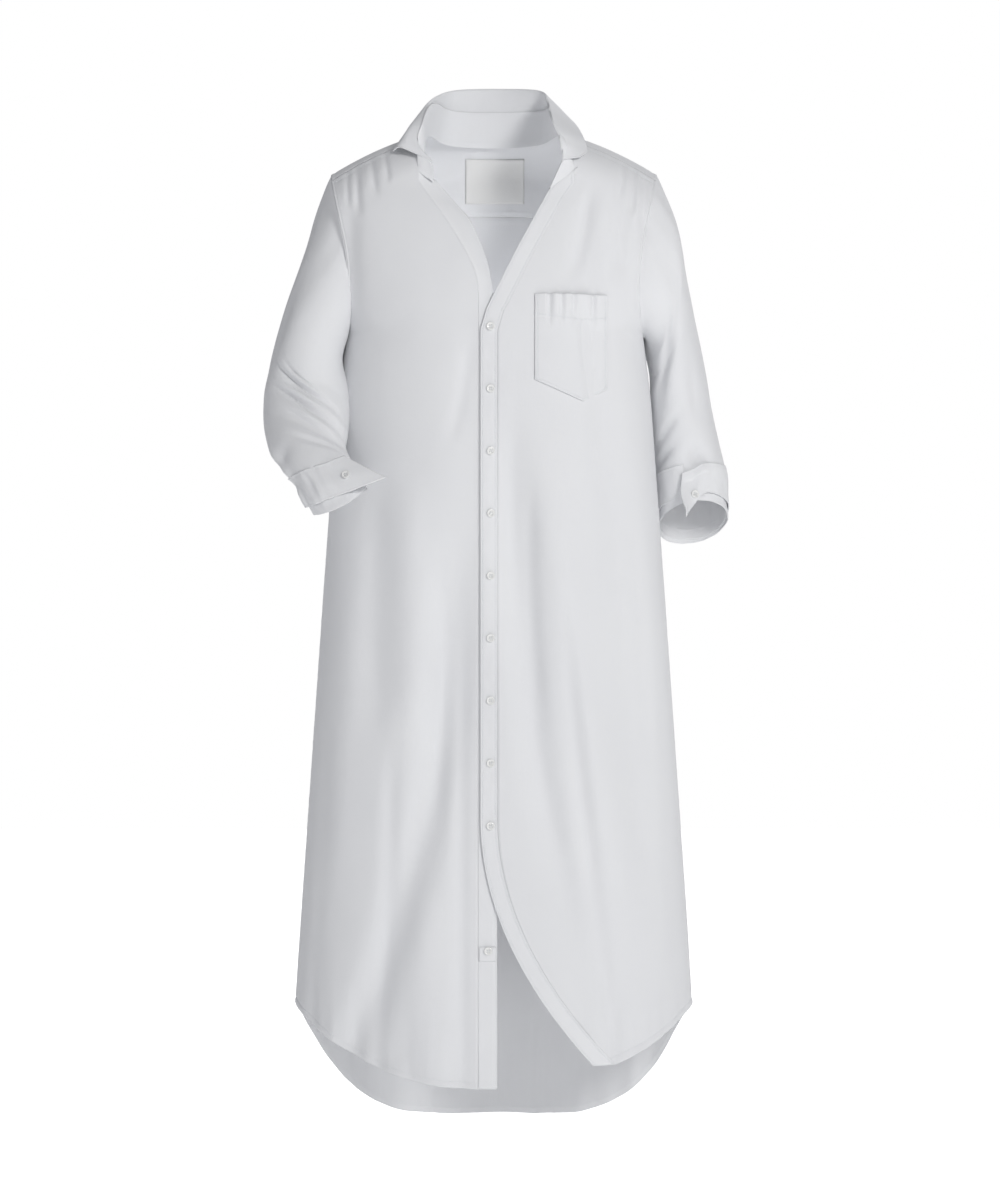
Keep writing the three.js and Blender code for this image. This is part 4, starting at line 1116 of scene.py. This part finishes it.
cloth("woven_label", "neck_label", (78, 60), 1.0, (30, 24), patch(BACK, -38, 40, -20, -78, -1.6), (0, 0, -50),
      thick=0.7, material=LABEL_TAPE, rests_on=["cloth_yoke"])
tab_place = patch(FRONT, -18.5, 2.5, -1042, -1060, -1.6)
cloth("cloth_placket_tab", "placket_tab", (21, 18), 1.0, (14, 12), tab_place, BODY_MIDDLE, thick=0.8,
      material=FACING, rests_on=["cloth_placket_under"])

# %% [markdown]
# ## The buttons
# A button is turned: a profile is spun round its axis into a dish with a raised rim. Four
# holes are cut with a Boolean, and thread crosses between them in two bars. The same mesh
# serves every button.

# %% Turn one button
BUTTON_TOP_Z, BUTTON_STEP, BUTTON_COUNT, BUTTON_X = -257.6, 79.0, 9, -4.0


def button_mesh():
    bm = bmesh.new()
    outline = [(0.0, 0.0), (3.9, 0.0), (5.0, 0.6), (5.4, 1.4), (5.2, 2.3), (4.7, 2.6), (4.0, 2.3), (3.4, 1.8),
               (0.0, 1.8)]
    verts = [bm.verts.new((r * MM, 0, h * MM)) for r, h in outline]
    edges = [bm.edges.new(pair) for pair in zip(verts, verts[1:])]
    bmesh.ops.spin(bm, geom=verts + edges, cent=(0, 0, 0), axis=(0, 0, 1), angle=2 * math.pi, steps=40,
                   use_merge=True, use_duplicate=False)
    bmesh.ops.remove_doubles(bm, verts=bm.verts, dist=1e-6)
    bmesh.ops.recalc_face_normals(bm, faces=bm.faces)
    mesh = bpy.data.meshes.new("button_blank")
    bm.to_mesh(mesh)
    bm.free()
    return mesh


def hole_mesh():
    bm = bmesh.new()
    for x in (-1, 1):
        for y in (-1, 1):
            bmesh.ops.create_cone(bm, cap_ends=True, segments=14, radius1=0.55 * MM, radius2=0.55 * MM,
                                  depth=8 * MM, matrix=Matrix.Translation((x * 1.15 * MM, y * 1.15 * MM, 0)))
    mesh = bpy.data.meshes.new("button_holes")
    bm.to_mesh(mesh)
    bm.free()
    return mesh


def cut_button():
    blank = bpy.data.objects.new("button_blank", button_mesh())
    cutter = bpy.data.objects.new("button_holes", hole_mesh())
    for item in (blank, cutter):
        bpy.context.scene.collection.objects.link(item)
    holes = blank.modifiers.new("holes", "BOOLEAN")
    holes.object, holes.operation, holes.solver = cutter, "DIFFERENCE", "EXACT"
    graph = bpy.context.evaluated_depsgraph_get()
    mesh = bpy.data.meshes.new_from_object(blank.evaluated_get(graph))
    for item in (blank, cutter):
        bpy.data.objects.remove(item)
    return mesh


BUTTON_MESH = cut_button()
print("button faces:", len(BUTTON_MESH.polygons))

# %% Sew the buttons on
THREAD_BARS = []


def add_button(name, node, point, normal):
    turn = Vector((0, 0, 1)).rotation_difference(normal).to_matrix().to_4x4()
    matrix = Matrix.Translation(point * MM) @ turn
    bm = bmesh.new()
    bm.from_mesh(BUTTON_MESH)
    bmesh.ops.transform(bm, matrix=matrix, verts=bm.verts)
    piece = finish_piece(name, bm, BUTTON, [node] if node else [])
    for x in (-1.15, 1.15):
        THREAD_BARS.append(matrix @ Matrix.Translation((x * MM, 0, 2.0 * MM)))
    return piece


for i in range(BUTTON_COUNT):
    z = BUTTON_TOP_Z - BUTTON_STEP * i
    normal = surface_normal(FRONT, BUTTON_X, z)
    add_button(f"pearl_button_{i + 1}", f"button_{i + 1}", offset_point(FRONT, BUTTON_X, z, 0.6), normal)
for side, across, down in (("right", 0.87, 0.5), ("left", 0.9, 0.7)):
    cuff = next(row for row in CUFFS if row["side"] == side and not row["part"])
    on_cuff = cuff_form(cuff)
    point = on_cuff(across, down)
    over = on_cuff(across + 0.03, down) - on_cuff(across - 0.03, down)
    along = on_cuff(across, down + 0.1) - on_cuff(across, down - 0.1)
    outward = over.cross(along).normalized()
    if outward.y > 0:
        outward = -outward
    add_button(f"pearl_button_cuff_{side}", None, point + outward * 0.3, outward)
hem_normal = surface_normal(FRONT, -7, -1047)
add_button("pearl_button_hem", "button_hem", offset_point(FRONT, -7, -1047, -1.1), hem_normal)
print("buttons:", BUTTON_COUNT + 1)

# %% [markdown]
# ## Stitching
# A stitch is a short straight bar of thread, 2.5 mm long, every 3.4 mm. A row of stitches is
# laid along a line on a piece, found with the same function that placed the piece's points.
# Each row is one joined mesh.

# %% The stitch layer
STITCH_STEP, STITCH_LENGTH, STITCH_RADIUS = 3.4, 2.5, 0.32


def stitch_bars(bm, line):
    """Lays stitches along a list of points and normals, in mm."""
    carry = 0.0
    for (start, normal), (end, _) in zip(line, line[1:]):
        step = end - start
        length = step.length
        while carry < length:
            middle = start + step * (carry / length) + normal * 0.12
            ahead = step.normalized()
            side = normal.cross(ahead).normalized()
            matrix = Matrix((side, normal, ahead)).transposed().to_4x4()
            matrix.translation = middle * MM
            bmesh.ops.create_cone(bm, cap_ends=True, segments=5, radius1=STITCH_RADIUS * MM,
                                  radius2=STITCH_RADIUS * MM, depth=STITCH_LENGTH * MM, matrix=matrix)
            carry += STITCH_STEP
        carry -= length


def line_on(place, across, down, steps, reverse=False):
    """Points and normals along a line on a piece. across and down each give (start, end)."""
    line = []
    for i in range(steps + 1):
        a, d = mix(*across, i / steps), mix(*down, i / steps)
        point = place(a, d)
        over = place(min(a + 0.004, 1), d) - place(max(a - 0.004, 0), d)
        along = place(a, min(d + 0.004, 1)) - place(a, max(d - 0.004, 0))
        normal = over.cross(along).normalized()
        line.append((point, -normal if reverse else normal))
    return line


def stitches(name, lines):
    bm = bmesh.new()
    for line in lines:
        row = bmesh.new()
        stitch_bars(row, line)
        mesh = bpy.data.meshes.new("row")
        row.to_mesh(mesh)
        row.free()
        bm.from_mesh(mesh)
        bpy.data.meshes.remove(mesh)
    piece = finish_piece(name, bm, THREAD, [])
    print(f"{name}: {len(piece.data.polygons) // 7} stitches")
    return piece


# %% Stitch rows
FULL = (0, 1)


def facing(line, toward):
    """Turns a line's normals to the side of a direction."""
    return [(p, n if n.dot(Vector(toward)) > 0 else -n) for p, n in line]


stitches("stitches_plackets", [
    facing(line_on(top_band, (share, share), FULL, 320), (0, -1, 0)) for share in (0.12, 0.88)
])
stitches("stitches_hems", [
    facing(line_on(front_left, FULL, (0.9935, 0.9935), 90), (0, -1, 0)),
    facing(line_on(front_right, FULL, (0.9935, 0.9935), 90), (0, -1, 0)),
    facing(line_on(back, FULL, (0.994, 0.994), 160), (0, 1, 0)),
])
stitches("stitches_seams", [
    facing(line_on(front_left, (0, 0.98), (0.0045, 0.0045), 60), (0, -1, 0)),
    facing(line_on(front_right, (0, 0.98), (0.0045, 0.0045), 60), (0, -1, 0)),
    facing(line_on(back, (0.02, 0.98), (0.0045, 0.0045), 120), (0, 1, 0)),
    facing(line_on(pocket_place, (0.03, 0.03), FULL, 40), (0, -1, 0)),
    facing(line_on(pocket_place, (0.97, 0.97), FULL, 40), (0, -1, 0)),
    facing(line_on(pocket_place, FULL, (0.98, 0.98), 40), (0, -1, 0)),
    facing(line_on(pocket_place, FULL, (0.235, 0.235), 40), (0, -1, 0)),
])

# %% Thread through the buttons
bm = bmesh.new()
for matrix in THREAD_BARS:
    lying = matrix @ Matrix.Rotation(math.pi / 2, 4, "X")
    bmesh.ops.create_cone(bm, cap_ends=True, segments=8, radius1=0.4 * MM, radius2=0.4 * MM, depth=2.6 * MM,
                          matrix=lying)
button_thread = finish_piece("button_thread", bm, THREAD, [])
print("thread bars:", len(THREAD_BARS))

# %% [markdown]
# ## Light, floor and camera
# The photograph is a catalogue picture: a soft key from the upper right, a weak wide fill, and
# a white ground. The world lights the cloth from all round and shows pure white behind it. The
# floor glows white for the camera and more weakly for the cloth, so the hem stays darker than
# the chest, as in the picture. A small lamp inside the dress stands in for the light that thin
# cotton lets through. The camera is level, four and a half metres away, at the dress's middle.

# %% Studio
scene = bpy.context.scene
scene.view_settings.view_transform = "Standard"
world = bpy.data.worlds.new("white_studio")
scene.world = world
world.use_nodes = True
sky = world.node_tree
sky.nodes.clear()
rays = add_node(sky, "ShaderNodeLightPath")
light_in = add_node(sky, "ShaderNodeBackground", Color=hex_colour("FAFBFF"), Strength=0.3)
ground = add_node(sky, "ShaderNodeBackground", Color=hex_colour("FFFFFF"), Strength=1.0)
both = add_node(sky, "ShaderNodeMixShader", _0=rays.outputs["Is Camera Ray"], _1=light_in.outputs[0],
                _2=ground.outputs[0])
add_node(sky, "ShaderNodeOutputWorld", Surface=both.outputs[0])


def area_light(name, location, target, size, power, colour="FFFFFF"):
    light = bpy.data.lights.new(name, "AREA")
    light.shape, light.size, light.energy = "DISK", size, power
    light.color = hex_colour(colour)[:3]
    lamp = bpy.data.objects.new(name, light)
    lamp.location = location
    lamp.rotation_euler = (Vector(target) - Vector(location)).to_track_quat("-Z", "Y").to_euler()
    scene.collection.objects.link(lamp)


area_light("key_light", (1.9, -3.8, 1.1), (0, 0, -0.3), 1.1, 82, "FFFEFC")
area_light("fill_light", (-2.6, -3.2, 0.1), (0, 0, -0.6), 2.2, 4, "FAFBFF")
area_light("back_light", (0.8, 3.0, 1.4), (0, 0, -0.5), 2.0, 36)
area_light("light_through_cloth", (0, -0.02, -0.42), (0, 0.1, -0.2), 0.16, 0.4)

bm = bmesh.new()
bmesh.ops.create_grid(bm, x_segments=2, y_segments=2, size=9.0)
bmesh.ops.translate(bm, vec=(0, 0, -1.5), verts=bm.verts)
floor_mesh = bpy.data.meshes.new("pale_floor")
bm.to_mesh(floor_mesh)
bm.free()
floor = bpy.data.objects.new("pale_floor", floor_mesh)
scene.collection.objects.link(floor)
paint, floor_tree, floor_shader = new_material("matt_white_floor_paint")
floor_shader.inputs["Base Color"].default_value = hex_colour("FAFAFA")
floor_shader.inputs["Roughness"].default_value = 0.9
floor_shader.inputs["Emission Color"].default_value = hex_colour("FFFFFF")
floor_rays = add_node(floor_tree, "ShaderNodeLightPath")
floor_glow = add_node(floor_tree, "ShaderNodeMapRange", Value=floor_rays.outputs["Is Camera Ray"])
floor_glow.inputs["To Min"].default_value = 0.4
floor_glow.inputs["To Max"].default_value = 0.95
floor_tree.links.new(floor_glow.outputs["Result"], floor_shader.inputs["Emission Strength"])
floor_mesh.materials.append(paint)

# %% Camera
camera_data = bpy.data.cameras.new("level_camera")
camera_data.lens = 103.8
camera_data.sensor_width = 36.0
camera = bpy.data.objects.new("level_camera", camera_data)
camera.location = (0.0078, -4.5, -0.6045)
camera.rotation_euler = (math.pi / 2, 0, 0)
scene.collection.objects.link(camera)
scene.camera = camera
print("camera at", tuple(round(v, 3) for v in camera.location))

# %% [markdown]
# ## Finish
# The script ends by printing how many pieces it made and about how many triangles they hold.

# %% Count of pieces
print("pieces:", len(PIECES), "triangles about", sum(len(p.data.polygons) for p in PIECES.values()) * 4)
